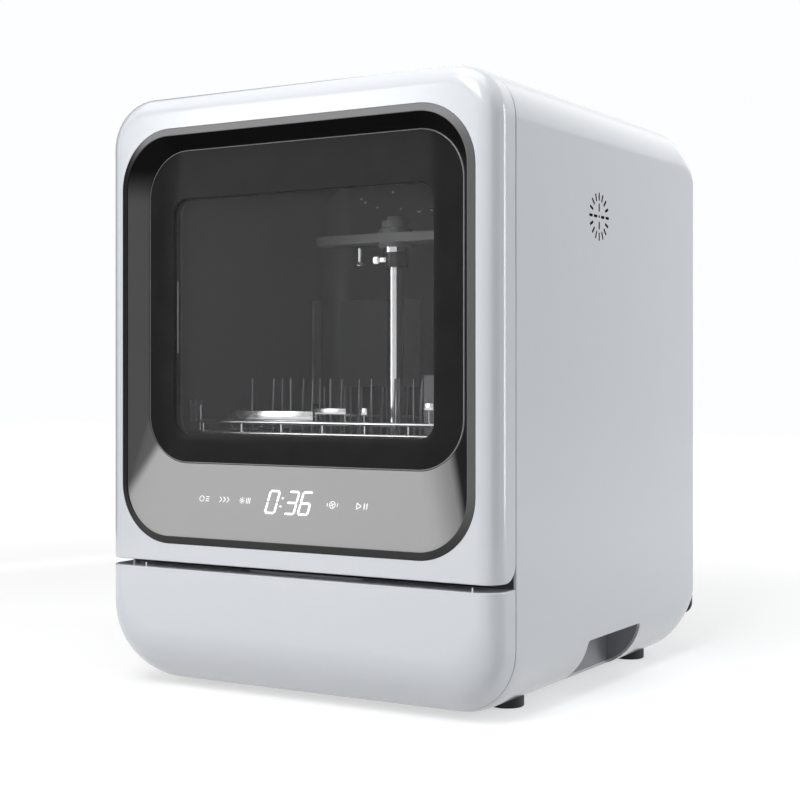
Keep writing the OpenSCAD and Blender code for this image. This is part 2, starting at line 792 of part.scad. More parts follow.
module drain_pump() {
    color("#4a4d52") union() {
        rod_z(drain_pump_x, drain_pump_y, z_low + 8, z_low + 38, 22);
        rod_z(drain_pump_x, drain_pump_y, z_low + 37, z_low + 52, 26);
        rod_z(drain_pump_x, drain_pump_y, z_low + 50, z_low + 62, 8);
        rod_x(drain_pump_x, drain_pump_x + 36, drain_pump_y, z_low + 45, 7);
    }
}

module drain_hose() {
    bottom = tub_floor - tub_wall - 30.1;
    color("#3a3a3c") union() {
        hose([[filter_x, filter_y, bottom - 12.1], [filter_x, filter_y, z_low + 80],
            [filter_x, drain_pump_y, z_low + 80], [drain_pump_x, drain_pump_y, z_low + 80],
            [drain_pump_x, drain_pump_y, z_low + 62.1]], hose_r);
        hose([[drain_pump_x + 36.1, drain_pump_y, z_low + 45], [drain_x, drain_pump_y, z_low + 45],
            [drain_x, drain_pump_y, plug_z], [drain_x, y_back - recess_in - 6, plug_z]], hose_r);
        // spigot for the drain hose of the house
        difference() {
            rod_y(drain_x, y_back - recess_in - 7, y_back + 2, plug_z, 9.5);
            rod_y(drain_x, y_back - recess_in + 4, y_back + 3, plug_z, 7);
        }
    }
}

valve_y = y_back - recess_in - 20;

module inlet_valve() {
    color("whitesmoke") difference() {
        union() {
            block(inlet_x - 15, inlet_x + 15, y_back - recess_in - 34, y_back - recess_in - 1,
                plug_z - 16, plug_z + 16);
            rod_z(inlet_x + 8, valve_y, plug_z + 15, plug_z + 30, 7);
            rod_y(inlet_x, y_back - recess_in - 2, y_back + 1, plug_z, 13.2);
        }
        rod_y(inlet_x, y_back - recess_in - 10, y_back + 2, plug_z, 9);
    }
}

module suction_hose() {
    x = filter_x - 15;
    color("#3a3a3c") hose([[x, filter_y + 56.1, hose_z], [x, pump_y, hose_z], [pump_x + 52, pump_y, hose_z],
        [pump_x + 52, pump_y, pump_z], [pump_x + 30.1, pump_y, pump_z]], 8);
}

module delivery_hose() {
    y = pump_y + 24;
    back_run = filter_y + 9;
    color("#3a3a3c") hose([[pump_x, y, pump_z + 50.1], [pump_x, y, hose_z], [pump_x, back_run, hose_z],
        [0, back_run, hose_z], [0, spin_y + 36.1, hose_z]], 8);
}

module tank_dock() {
    color("gray") union() {
        rod_y(dock_x, tray_back + 4.5, tray_back + 20, tray_z + 14, 11);
        rod_y(dock_x, tray_back + 19, tray_back + 30, tray_z + 14, 6);
        block(dock_x - 14, dock_x + 14, tray_back + 10, tray_back + 18, z_low + 7.5, tray_z + 26);
    }
}

tank_pump_y = tray_back + 62;

module tank_pump() {
    color("#4a4d52") union() {
        block(dock_x - 20, dock_x + 20, tank_pump_y - 20, tank_pump_y + 20, z_low + 8, z_low + 44);
        rod_z(dock_x, tank_pump_y, z_low + 43, z_low + 60, 14);
        rod_y(dock_x, tank_pump_y - 26, tank_pump_y - 19, tray_z + 14, 6);
        rod_z(dock_x, tank_pump_y, z_low + 59, z_low + 68, 6);
    }
}

module fill_hoses() {
    low = tub_floor - tub_wall - 20.1;
    color("gainsboro") union() {
        // from the tank's dock to its pump, and up to the sump
        hose([[dock_x, tray_back + 30.1, tray_z + 14], [dock_x, tank_pump_y - 26.1, tray_z + 14]], 5.5);
        hose([[dock_x, tank_pump_y, z_low + 68.1], [dock_x, tank_pump_y, z_low + 92],
            [24, tank_pump_y, z_low + 92],
            [24, tank_pump_y, low], [24, filter_y, low], [filter_x - 56.1, filter_y, low]], 5.5);
        // from the mains valve to the chamber's back wall
        hose([[inlet_x + 8, valve_y, plug_z + 30.1], [inlet_x + 8, valve_y, tub_floor + 40],
            [inlet_x + 8, tub_y1 + tub_wall + 0.1, tub_floor + 40]], 5.5);
    }
}

module cord_gland() {
    color("#2c2c2e") difference() {
        union() {
            rod_y(gland_x, y_back - 14, y_back + panel_t - 0.4, plug_z, gland_r);
            rod_y(gland_x, y_back - 6, y_back - 0.2, plug_z, gland_r + 4);
        }
        rod_y(gland_x, y_back - 15, y_back + panel_t + 1, plug_z, 3.6);
    }
}

module main_board() {
    y = tub_y1 + 34;
    x0 = -half_w + 70;
    x1 = x0 + 150;
    z0 = z_low + 190;
    z1 = z_low + 320;
    color("seagreen") union() {
        block(x0, x1, y, y + 1.6, z0, z1);
        // relays, capacitors and connectors
        for (i = [0 : 3]) block(x0 + 12 + i * 26, x0 + 30 + i * 26, y + 1.5, y + 17, z1 - 30, z1 - 12);
        for (i = [0 : 2]) rod_y(x0 + 26 + i * 34, y + 1.5, y + 24, z0 + 66, 9);
        block(x0 + 20, x0 + 60, y + 1.5, y + 4, z0 + 18, z0 + 40);
        for (i = [0 : 4]) block(x0 + 70 + i * 14, x0 + 80 + i * 14, y + 1.5, y + 9, z0 + 6, z0 + 16);
        for (x = [x0 + 6, x1 - 6], z = [z0 + 6, z1 - 6]) rod_y(x, tub_y1 + tub_wall + 0.2, y + eps, z, 3.5);
    }
}

// ---------------------------------------------------------------- hinges and latch

module hinge_arms() {
    foot_z = deck_z + 2.1;
    color("silver") both_sides() difference() {
        union() {
            rod_x(arm_x, arm_x + arm_t, hinge_y, hinge_z, 6);
            block(arm_x, arm_x + arm_t, hinge_y, y_shell + 26, hinge_z - 6, hinge_z + 6);
            block(arm_x, arm_x + arm_t, y_shell + 10, y_shell + 40, foot_z, hinge_z + 6);
            block(arm_x - 8, arm_x + arm_t + 8, y_shell + 10, y_shell + 40, foot_z, foot_z + 3);
        }
        rod_x(arm_x - 1, arm_x + arm_t + 1, hinge_y, hinge_z, pin_r + run_fit);
    }
}

module door_hinge_blocks() {
    ear_r = 5.6;
    color("darkgray") both_sides() difference() {
        union() {
            for (x = [arm_x - 7, arm_x + arm_t + 0.6]) {
                rod_x(x, x + 6.4, hinge_y, hinge_z, ear_r);
                block(x, x + 6.4, hinge_y - ear_r, hinge_y + ear_r, hinge_z, hinge_z + 16);
            }
            block(arm_x - 7, arm_x + arm_t + 7, hinge_y - ear_r, hinge_y + ear_r, hinge_z + 11, hinge_z + 16);
        }
        rod_x(arm_x - 8, arm_x + arm_t + 8, hinge_y, hinge_z, pin_r + 0.02);
    }
}

module hinge_pins() {
    color("silver") both_sides() rod_x(arm_x - 7.5, arm_x + arm_t + 7.5, hinge_y, hinge_z, pin_r);
}

module latch_housing() {
    z0 = tub_z1 + 21.5;
    color("#3c3c3e") difference() {
        union() {
            block(-15, 15, bezel_y + 0.5, bezel_y + 20, z0, z0 + 14);
            block(-24, 24, bezel_y + 3.1, bezel_y + 5, z0, z0 + 14);
        }
        block(-11, 11, bezel_y - 1, bezel_y + 17, z0 + 2, z0 + 12);
    }
}

module latch_tongue() {
    z0 = tub_z1 + 21.5;
    root = y_seam - 0.05;
    color("#3c3c3e") along_x(-8, 8) polygon([[root, z0 + 4], [bezel_y + 10, z0 + 4], [bezel_y + 13, z0 + 5.5],
        [bezel_y + 13, z0 + 7.5], [bezel_y + 10, z0 + 9], [root, z0 + 9]]);
}

// ---------------------------------------------------------------- door

low_back_r = 15;      // rounded lower rear edge that clears the cabinet as the door turns

// Disc about a line along Y with a rounded front edge
module front_puck(x, z, rad, edge, y0, y1) {
    translate([x, 0, z]) rotate([90, 0, 0]) rotate_extrude() union() {
        translate([0, -y1]) square([rad - edge, y1 - y0]);
        translate([0, -y1]) square([rad, y1 - y0 - edge]);
        translate([rad - edge, -y0 - edge]) circle(edge);
    }
}

// Full-width form with both vertical front edges rounded, z0 to z1
module rounded_front(inset, y0, y1, z0, z1) {
    x = half_w - inset;
    e = front_r - inset;
    translate([0, 0, z0]) linear_extrude(z1 - z0) union() {
        translate([-x, y0 + e]) square([2 * x, y1 - y0 - e]);
        translate([-x + e, y0]) square([2 * (x - e), y1 - y0]);
        for (s = [-1, 1]) translate([s * (x - e), y0 + e]) circle(e);
    }
}

// Door form with rounded front edges, made smaller by inset, back to y1
module door_form(inset, y1) {
    e = front_r - inset;
    y0 = y_front + inset;
    z0 = door_low + inset;
    z1 = z_top - inset;
    cx = half_w - top_r;
    cz = z_top - top_r;
    difference() {
        union() {
            rounded_front(inset, y0, y1, z0, cz);
            along_x(-cx, cx) union() {
                translate([y0 + e, z0]) square([y1 - y0 - e, z1 - z0]);
                translate([y0, z0]) square([y1 - y0, z1 - z0 - e]);
                translate([y0 + e, z1 - e]) circle(e);
            }
            for (s = [-1, 1]) intersection() {
                front_puck(s * cx, cz, top_r - inset, e, y0, y1);
                block(s > 0 ? cx : -half_w - 1, s > 0 ? half_w + 1 : -cx, y0 - 1, y1 + 1, cz, z_top + 1);
            }
        }
        // the rounding circles may reach past a thin door's back
        block(-half_w - 1, half_w + 1, y1, y1 + front_r, door_low - 1, z_top + 1);
        difference() {
            block(-half_w - 1, half_w + 1, y_seam - low_back_r, y_seam + 3, z0 - 1, door_low + low_back_r);
            rod_x(-half_w - 2, half_w + 2, y_seam - low_back_r, door_low + low_back_r, low_back_r - inset);
        }
    }
}

module hinge_slots() {
    both_sides() block(arm_x - 1, arm_x + arm_t + 1, hinge_y - 7, y_seam + 1, door_low - 1, hinge_z + 8);
}

module door_frame() {
    color("white") difference() {
        door_form(0, y_seam);
        door_form(3, y_seam + 1);
        along_y(y_front - 1, y_front + 4) rounded_2d(-open_hw, open_hw, open_z0, open_z1, opening_r);
        hinge_slots();
    }
}

module ring_plate(y, t, inset) {
    along_y(y, y + t) rounded_2d(-open_hw + inset, open_hw - inset, open_z0 + inset, open_z1 - inset,
        opening_r - inset, $fn = 2 * hull_fn);
}

ring_t = 2.5;

module trim_ring() {
    color("dimgray") difference() {
        hull() {
            ring_plate(y_front, ring_t, small);
            ring_plate(y_front - ring_proud, 0.5, ring_w - 1);
        }
        ring_plate(y_front - ring_proud - 1, ring_proud + ring_t + 2, ring_w);
    }
}

module glass_plate(y, t, grow) {
    along_y(y, y + t) rounded_2d(-glass_hw - grow, glass_hw + grow, glass_z0 - grow, glass_z1 + grow,
        glass_r + grow, $fn = 2 * hull_fn);
}

// The slanted panel runs from the ring's lower edge back to the glass
panel_foot_z = ring_z0 - 4;
panel_rise = glass_z0 - 0.4 - panel_foot_z;
panel_lean = atan2(glass_set, panel_rise);
board_z = ring_z0 + panel_h / 2;
board_y = y_front + glass_set * (board_z - panel_foot_z) / panel_rise;
panel_wall = 2.5;

// Turns a child so that its XZ plane lies on the slanted panel
module on_panel() {
    translate([0, board_y, board_z]) rotate([-panel_lean, 0, 0]) children();
}

module control_fascia() {
    color("darkgray") difference() {
        union() {
            ring_plate(y_front + ring_t + 0.1, glass_set - ring_t + 2, small);
            ring_plate(y_front + 3.6, 2, -3.5);
        }
        // sloping recess from the ring down to the glass
        hull() {
            along_y(y_front - 1, y_front)
                rounded_2d(-ring_hw - 0.7, ring_hw + 0.7, panel_foot_z, ring_z1 + 0.7,
                ring_r + 0.7, $fn = 2 * hull_fn);
            glass_plate(y_glass, 0.5, 0.4);
        }
        glass_plate(y_glass - 1, 8, 0.4);
        on_panel() block(-124, 124, panel_wall, 40, -25, 23);
    }
}

module outer_glass() {
    color("#26282a") glass_plate(y_glass, glass_t, 0);
}

module window_plate(y, t, grow) {
    along_y(y, y + t) rounded_2d(-window_w / 2 - grow, window_w / 2 + grow, window_z0 - grow,
        window_z0 + window_h + grow, window_r + grow);
}

module window_frame() {
    y0 = y_glass + glass_t + 0.3;
    color("#1c1c1e") difference() {
        window_plate(y0, y_seam - 3.3 - y0, 24);
        window_plate(y0 - 1, 20, 0);
        window_plate(y_seam - 8.5, 10, 10);
    }
}

module inner_glass() {
    color("#50555a") window_plate(y_seam - 8.4, 3, 9.7);
}

module door_liner() {
    color("silver") difference() {
        along_y(y_seam - 3, y_seam - 0.1)
            rounded_box_2d(-half_w + 3.5, half_w - 3.5, door_low + 15, z_top - 3.5, 10, top_r - 3.5);
        window_plate(y_seam - 4, 5, 5);
        hinge_slots();
    }
}

module display_board() {
    led_t = 4;
    color("seagreen") on_panel() translate([0, panel_wall + small, 0]) union() {
        block(-115, 115, led_t, led_t + 1.6, -19, 17);
        // number display and the springs of the five touch keys
        block(-36, 30, 0, led_t + 0.1, -11, 11);
        for (x = [-95, -72, -50, 41, 71]) rod_y(x, 0, led_t + 0.1, 0, 5);
        block(60, 90, led_t + 1.5, led_t + 4.5, -12, -4);
    }
}

// ---------------------------------------------------------------- drawer

// Drawer front with a full lower edge that runs into the cabinet's bottom corners
module drawer_form(inset, y1) {
    intersection() {
        rounded_front(inset, y_front + inset, y1, z_low, drawer_top - inset);
        along_y(y_front, y1)
            rounded_box_2d(-half_w + inset, half_w - inset, z_low + inset, drawer_top + 40, low_r - inset, 1);
        along_x(-half_w, half_w) side_outline(inset);
    }
}

module drawer_front() {
    color("white") difference() {
        union() {
            difference() {
                drawer_form(0, y_seam);
                drawer_form(3, y_seam + 1);
            }
            // posts that carry the tray
            intersection() {
                drawer_form(1, y_seam + 0.5);
                for (x = [-110, 110], z = [z_low + 28, z_low + 66]) rod_y(x, y_front, y_seam + 0.5, z, 7);
            }
        }
        // pull groove behind the top edge
        block(-60, 60, y_front + 14, y_seam - 6, drawer_top - 5, drawer_top + 1);
    }
}

module drawer_tray() {
    color("gray") difference() {
        block(-tray_hw, tray_hw, y_seam + 0.6, tray_back, tray_z, tray_z + 68);
        block(-tray_hw + 2.5, tray_hw - 2.5, y_seam + 3, tray_back - 2.5, tray_z + 2.5, tray_z + 69);
        // notch for the tank's outlet
        block(dock_x - 12, dock_x + 12, tray_back - 4, tray_back + 1, tray_z + 2.5, tray_z + 27);
    }
}

rail_z = z_low + 54;

module drawer_runners() {
    color("silver") both_sides()
        block(tray_hw + 0.1, tray_hw + 7.5, y_seam + 3, tray_back - 3, rail_z + 3, rail_z + 13);
}

module drawer_rails() {
    y0 = y_shell + 5;
    y1 = tray_back - 2;
    color("silver") both_sides() union() {
        block(tray_hw + 8.2, tray_hw + 10.2, y0, y1, rail_z, deck_z - 0.1);
        block(tray_hw + 4, tray_hw + 10, y0, y1, rail_z, rail_z + 2);
        block(tray_hw + 4, tray_hw + 10, y0, y1, rail_z + 14, rail_z + 16);
        block(tray_hw + 4, tray_hw + 10, y0, y1, deck_z - 2.1, deck_z - 0.1);
    }
}

tank_z1 = tray_z + 84;

module tank_plan(inset) {
    rounded_2d(-tray_hw + 4 + inset, tray_hw - 4 - inset, y_seam + 4.5 + inset,
        tray_back - 4.5 - inset, 14 - inset);
}

module water_tank() {
    color("lightgray") difference() {
        union() {
            translate([0, 0, tray_z + 3]) linear_extrude(tank_z1 - tray_z - 3) tank_plan(0);
            rod_y(dock_x, tray_back - 6, tray_back + 4, tray_z + 14, 8);
        }
        translate([0, 0, tray_z + 3 + tank_wall]) linear_extrude(tank_z1) tank_plan(tank_wall);
        rod_y(dock_x, tray_back - 9, tray_back + 5, tray_z + 14, 5);
    }
}

module tank_lid() {
    fill_y = y_seam + 46;
    color("gray") union() {
        translate([0, 0, tank_z1 + 0.1]) linear_extrude(2.5) tank_plan(0);
        translate([0, 0, tank_z1 - 5]) linear_extrude(5.2) difference() {
            tank_plan(tank_wall + small);
            tank_plan(tank_wall + small + 2);
        }
        // screw cap over the filling hole
        rod_z(0, fill_y, tank_z1 + 2.5, tank_z1 + 6, 24);
        block(-20, 20, fill_y - 3, fill_y + 3, tank_z1 + 5.9, tank_z1 + 8);
    }
}

outer_shell();
base_tray();
rear_panel();
plug_plate();
hose_pocket();
support_deck();
front_bezel();
handhold_cups();
feet();
panel_screws();
base_screws();
wash_tub();
tub_gasket();
insulation_pad();
sump();
filter_cup();
arm_post();
riser_tube();
arm_collar();
arm_cap();
lower_spray_arm();
upper_spray_arm();
heater_ring();
rack_rails();
rack_floor();
rack_rim();
rack_uprights();
rack_tines();
cutlery_basket();
vent_cover();
fan_duct();
fan_housing();
fan_impeller();
pump_volute();
pump_motor();
pump_impeller();
drain_pump();
tank_pump();
tank_dock();
inlet_valve();
suction_hose();
delivery_hose();
drain_hose();
fill_hoses();
cord_gland();
main_board();
hinge_arms();
latch_housing();
drawer_rails();
hinge_pins();
door_hinge_blocks();
latch_tongue();
door_frame();
trim_ring();
control_fascia();
outer_glass();
window_frame();
inner_glass();
door_liner();
display_board();
drawer_front();
drawer_tray();
drawer_runners();
water_tank();
tank_lid();
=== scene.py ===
"""Countertop dishwasher with a drop-down glass door and a pull-out water-tank drawer.

The operators below make the moulded skins, the glass, the display and the dish rack,
and give every carried-over part its finish. All sizes are in metres, with the front at -Y.
"""

import math

import bmesh
import bpy
from mathutils import Matrix, Vector


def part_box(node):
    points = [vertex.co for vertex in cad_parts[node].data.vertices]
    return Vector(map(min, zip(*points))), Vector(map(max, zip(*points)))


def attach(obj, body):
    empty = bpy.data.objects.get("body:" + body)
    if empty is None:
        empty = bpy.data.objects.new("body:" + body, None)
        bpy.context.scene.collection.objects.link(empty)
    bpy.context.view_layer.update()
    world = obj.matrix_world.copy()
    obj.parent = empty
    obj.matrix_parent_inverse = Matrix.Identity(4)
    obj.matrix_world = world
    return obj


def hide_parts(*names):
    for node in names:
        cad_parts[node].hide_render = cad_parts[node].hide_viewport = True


bl_info = {
    "name": "Countertop Dishwasher",
    "version": (1, 0, 0),
    "blender": (4, 5, 0),
    "location": "View3D > Sidebar > Dishwasher",
    "description": "Makes the skins, glass, display and rack of a countertop dishwasher",
    "category": "Add Mesh",
}

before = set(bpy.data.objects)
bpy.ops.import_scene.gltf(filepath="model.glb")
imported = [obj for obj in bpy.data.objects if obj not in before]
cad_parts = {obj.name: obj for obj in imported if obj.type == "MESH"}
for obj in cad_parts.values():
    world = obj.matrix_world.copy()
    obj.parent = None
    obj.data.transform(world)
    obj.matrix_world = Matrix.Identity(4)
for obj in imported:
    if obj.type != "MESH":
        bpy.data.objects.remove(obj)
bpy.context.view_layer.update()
MM = 0.001

SHELL_LOW, SHELL_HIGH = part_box("outer_shell")
DOOR_LOW, DOOR_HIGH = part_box("door_frame")
RING_LOW, RING_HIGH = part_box("trim_ring")
GLASS_LOW, GLASS_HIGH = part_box("outer_glass")
DRAWER_LOW, DRAWER_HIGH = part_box("drawer_front")
WINDOW_LOW, WINDOW_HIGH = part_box("inner_glass")
FLOOR_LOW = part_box("rack_floor")[0]
RIM_LOW, RIM_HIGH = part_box("rack_rim")
RISER_LOW, RISER_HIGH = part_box("riser_tube")
SPIN_Y = (RISER_LOW.y + RISER_HIGH.y) / 2

TINY = 1e-6
SEAM = 0.03 * MM        # step that keeps two neighbouring outlines apart
LIP = 0.5 * MM          # radius of the rear edges of door and drawer
WALL = 3 * MM           # wall of the door and the drawer front
RING_FIT = 0.3 * MM     # room round the ring in the door
RING_LEAD = 1.2 * MM    # how far the sloping panel starts behind the ring's front
GLASS_GAP = 0.35 * MM   # room round the outer glass
CORNER_STEPS = 20       # segments of each corner of the ring, the panel and the glass


# ------------------------------------------------------------------ settings


class DishwasherSizes(bpy.types.PropertyGroup):
    """Sizes of the moulded skins and the small parts."""

    top_radius: bpy.props.FloatProperty(
        name="Top edge radius", description="Radius of the two long top edges",
        default=44 * MM, min=0.02, max=0.06, subtype="DISTANCE", unit="LENGTH")
    low_radius: bpy.props.FloatProperty(
        name="Bottom edge radius", description="Radius of the two long bottom edges",
        default=53 * MM, min=0.03, max=0.07, subtype="DISTANCE", unit="LENGTH")
    rear_radius: bpy.props.FloatProperty(
        name="Rear edge radius", description="Radius of the top and bottom edges at the back",
        default=40 * MM, min=0.02, max=0.06, subtype="DISTANCE", unit="LENGTH")
    rear_side_radius: bpy.props.FloatProperty(
        name="Rear side radius", description="Radius of the upright edges at the back",
        default=5 * MM, min=0.001, max=0.01, subtype="DISTANCE", unit="LENGTH")
    chin_radius: bpy.props.FloatProperty(
        name="Chin radius", description="Radius of the drawer's lower front edge",
        default=52 * MM, min=0.03, max=0.07, subtype="DISTANCE", unit="LENGTH")
    front_radius: bpy.props.FloatProperty(
        name="Front edge radius", description="Radius round the front of the door and the drawer",
        default=18 * MM, min=0.01, max=0.02, subtype="DISTANCE", unit="LENGTH")
    hinge_edge_radius: bpy.props.FloatProperty(
        name="Hinge edge radius", description="Radius of the door's lower rear edge",
        default=15 * MM, min=0.005, max=0.018, subtype="DISTANCE", unit="LENGTH")
    opening_radius: bpy.props.FloatProperty(
        name="Opening radius", description="Corner radius of the opening in the door",
        default=53 * MM, min=0.04, max=0.06, subtype="DISTANCE", unit="LENGTH")
    ring_width: bpy.props.FloatProperty(
        name="Ring width", description="Width of the dark ring round the opening",
        default=6.9 * MM, min=0.005, max=0.009, subtype="DISTANCE", unit="LENGTH")
    glass_radius: bpy.props.FloatProperty(
        name="Glass radius", description="Corner radius of the outer glass",
        default=43.1 * MM, min=0.03, max=0.05, subtype="DISTANCE", unit="LENGTH")
    glass_bevel: bpy.props.FloatProperty(
        name="Glass bevel", description="Width of the polished edge of the glass",
        default=1.1 * MM, min=0.0003, max=0.002, subtype="DISTANCE", unit="LENGTH")
    window_radius: bpy.props.FloatProperty(
        name="Window radius", description="Corner radius of the clear window",
        default=14 * MM, min=0.005, max=0.03, subtype="DISTANCE", unit="LENGTH")
    skin: bpy.props.FloatProperty(
        name="Skin thickness", description="Wall of the moulded skins",
        default=2.5 * MM, min=0.001, max=0.004, subtype="DISTANCE", unit="LENGTH")
    digit_height: bpy.props.FloatProperty(
        name="Digit height", description="Height of the numbers on the display",
        default=20.8 * MM, min=0.01, max=0.03, subtype="DISTANCE", unit="LENGTH")
    wire_radius: bpy.props.FloatProperty(
        name="Wire radius", description="Radius of the rack's main wires",
        default=1.6 * MM, min=0.001, max=0.003, subtype="DISTANCE", unit="LENGTH")
    tine_radius: bpy.props.FloatProperty(
        name="Tine radius", description="Radius of the upright tines",
        default=0.95 * MM, min=0.0008, max=0.002, subtype="DISTANCE", unit="LENGTH")


class DishwasherColours(bpy.types.PropertyGroup):
    """Main colours of the finishes, as linear values."""

    paint: bpy.props.FloatVectorProperty(
        name="Paint", description="Cabinet, door and drawer paint",
        default=(0.708, 0.732, 0.772), size=3, min=0, max=1, subtype="COLOR")
    ring: bpy.props.FloatVectorProperty(
        name="Ring", description="Anodised ring round the opening",
        default=(0.130, 0.130, 0.132), size=3, min=0, max=1, subtype="COLOR")
    fascia: bpy.props.FloatVectorProperty(
        name="Fascia", description="Slanted control panel",
        default=(0.415, 0.415, 0.415), size=3, min=0, max=1, subtype="COLOR")
    border: bpy.props.FloatVectorProperty(
        name="Glass border", description="Black print round the window",
        default=(0.018, 0.018, 0.018), size=3, min=0, max=1, subtype="COLOR")
    chamber: bpy.props.FloatVectorProperty(
        name="Chamber", description="Walls of the wash chamber",
        default=(0.16, 0.16, 0.164), size=3, min=0, max=1, subtype="COLOR")


# ------------------------------------------------------------------ mesh helpers


def outline(bm, y, x0, x1, z0, z1, low, high, steps=12):
    """A rectangle in the plane y, with one radius at its lower and one at its upper corners."""
    middle = (z0 + z1) / 2
    place = (
        Matrix.Translation(((x0 + x1) / 2, y, middle))
        @ Matrix.Rotation(math.radians(90), 4, "X")
        @ Matrix.Diagonal(((x1 - x0) / 2, (z1 - z0) / 2, 1, 1))
        @ Matrix.Rotation(math.radians(45), 4, "Z")
    )
    corners = bmesh.ops.create_circle(
        bm, cap_ends=True, segments=4, radius=math.sqrt(2), matrix=place)["verts"]
    lower = [v for v in corners if v.co.z < middle]
    upper = [v for v in corners if v.co.z >= middle]
    for verts, radius in ((lower, low), (upper, high)):
        made = bmesh.ops.bevel(
            bm, geom=verts, offset=radius, offset_type="OFFSET", segments=steps, profile=0.5,
            affect="VERTICES", material=-1)["verts"]
    return made[0].link_faces[0]


def front_edges(low, high, grow=0.0):
    """Left, right, lower and upper edge of a box seen from the front, moved out by grow."""
    return low.x - grow, high.x + grow, low.z - grow, high.z + grow


def inward(section, depth, inset, low=None, high=None):
    """A section set back by depth and smaller by inset, with its own radii where given."""
    y, x0, x1, z0, z1, low_radius, high_radius = section
    return (y + depth, x0 + inset, x1 - inset, z0 + inset, z1 - inset,
            low_radius - inset if low is None else low,
            high_radius - inset if high is None else high)


def loop_of(bm, face):
    """Keeps the edges of a face and drops the face."""
    edges = list(face.edges)
    bmesh.ops.delete(bm, geom=[face], context="FACES_ONLY")
    return edges


def loft(bm, sections, closed=True):
    """Joins outlines into one skin and returns its end faces, if it is closed.

    Each section holds the arguments of outline().
    """
    ends = []
    last = None
    for i, section in enumerate(sections):
        face = outline(bm, *section)
        if closed and i in (0, len(sections) - 1):
            ends.append(face)
            edges = list(face.edges)
        else:
            edges = loop_of(bm, face)
        if last is not None:
            bmesh.ops.bridge_loops(bm, edges=last + edges)
        last = edges
    return ends


def arc_steps(reach, count):
    """Depths from 0 to reach that lie closer together near 0, for rounding an edge."""
    return [reach * (1 - math.cos(math.pi / 2 * i / count)) for i in range(count + 1)]


def rounding(radius, depth):
    """How far a rounded edge stands back at a depth behind its front."""
    if depth >= radius:
        return 0.0
    return radius - math.sqrt(max(radius * radius - (radius - depth) ** 2, 0.0))


def clean(bm):
    """Merges doubles and turns every face outwards."""
    bmesh.ops.remove_doubles(bm, verts=bm.verts, dist=TINY)
    bmesh.ops.recalc_face_normals(bm, faces=bm.faces)


def mesh_of(name, bm):
    """Turns a bmesh into a mesh and frees it."""
    mesh = bpy.data.meshes.new(name)
    bm.to_mesh(mesh)
    bm.free()
    return mesh


def add_object(name, data):
    """Makes an object and puts it in the scene."""
    made = bpy.data.objects.new(name, data)
    bpy.context.scene.collection.objects.link(made)
    return made


def finish_piece(name, bm, body, slot, materials, stands_for=(), sharp=32.0, weighted=True):
    """Turns a bmesh into a smooth-shaded piece that rides on a body of the frame."""
    mesh = mesh_of(name, bm)
    for material in materials:
        mesh.materials.append(material)
    mesh.shade_smooth()
    mesh.set_sharp_from_angle(angle=math.radians(sharp))
    piece = add_object(name, mesh)
    if weighted:
        even = piece.modifiers.new("Even shading", "WEIGHTED_NORMAL")
        even.mode = "FACE_AREA"
        even.weight = 50
        even.keep_sharp = True
    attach(piece, body)
    if stands_for:
        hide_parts(*stands_for)
    return piece


def cut_away(bm, cutters):
    """Returns a bmesh with the cutters' volumes taken out, by one exact boolean."""
    base = add_object("cut_base", mesh_of("cut_base", bm))
    tool = add_object("cut_tool", mesh_of("cut_tool", cutters))
    cut = base.modifiers.new("Cut", "BOOLEAN")
    cut.operation = "DIFFERENCE"
    cut.solver = "EXACT"
    cut.use_self = True
    cut.object = tool
    graph = bpy.context.evaluated_depsgraph_get()
    result = bmesh.new()
    result.from_mesh(base.evaluated_get(graph).data)
    for helper in (base, tool):
        mesh = helper.data
        bpy.data.objects.remove(helper)
        bpy.data.meshes.remove(mesh)
    return result


def edges_of(verts):
    """The edges that meet at any of the vertices, each once."""
    return list(dict.fromkeys(e for v in verts for e in v.link_edges))


def add_box(bm, low, high, bevel=0.0, segments=3, turn=None):
    """A box between two corners, with its edges rounded where bevel is given, then turned."""
    before = set(bm.verts)
    low, high = Vector(low), Vector(high)
    place = Matrix.Translation((low + high) / 2) @ Matrix.Diagonal((*(high - low), 1))
    made = bmesh.ops.create_cube(bm, size=1.0, matrix=place)["verts"]
    if bevel:
        bmesh.ops.bevel(bm, geom=edges_of(made), offset=bevel, offset_type="OFFSET",
                        segments=segments, profile=0.5, affect="EDGES", material=-1)
    if turn is not None:
        made = [v for v in bm.verts if v not in before]
        bmesh.ops.transform(bm, matrix=turn, verts=made)


def add_rod(bm, start, end, radius, sides=12, end_radius=None):
    """A capped round rod from one point to another, tapered where end_radius is given."""
    start, end = Vector(start), Vector(end)
    along = end - start
    turn = along.to_track_quat("Z", "Y").to_matrix().to_4x4()
    bmesh.ops.create_cone(
        bm, cap_ends=True, segments=sides, radius1=radius,
        radius2=radius if end_radius is None else end_radius, depth=along.length,
        matrix=Matrix.Translation((start + end) / 2) @ turn)


def add_ring(bm, x, y, profile, sides=48):
    """Turns a closed profile of (radius, height) points about an upright axis."""
    points = [bm.verts.new((x + radius, y, z)) for radius, z in profile]
    edges = [bm.edges.new(pair) for pair in zip(points, points[1:] + points[:1])]
    bmesh.ops.spin(bm, geom=points + edges, cent=(x, y, 0), axis=(0, 0, 1), angle=math.tau,
                   steps=sides, use_merge=True)


def add_ball(bm, centre, radius, sides=10, squash=(1, 1, 1)):
    """A small round end, flattened where squash is given."""
    bmesh.ops.create_uvsphere(
        bm, u_segments=sides, v_segments=max(sides // 2, 4), radius=radius,
        matrix=Matrix.Translation(centre) @ Matrix.Diagonal((*squash, 1)))


# ------------------------------------------------------------------ shader helpers


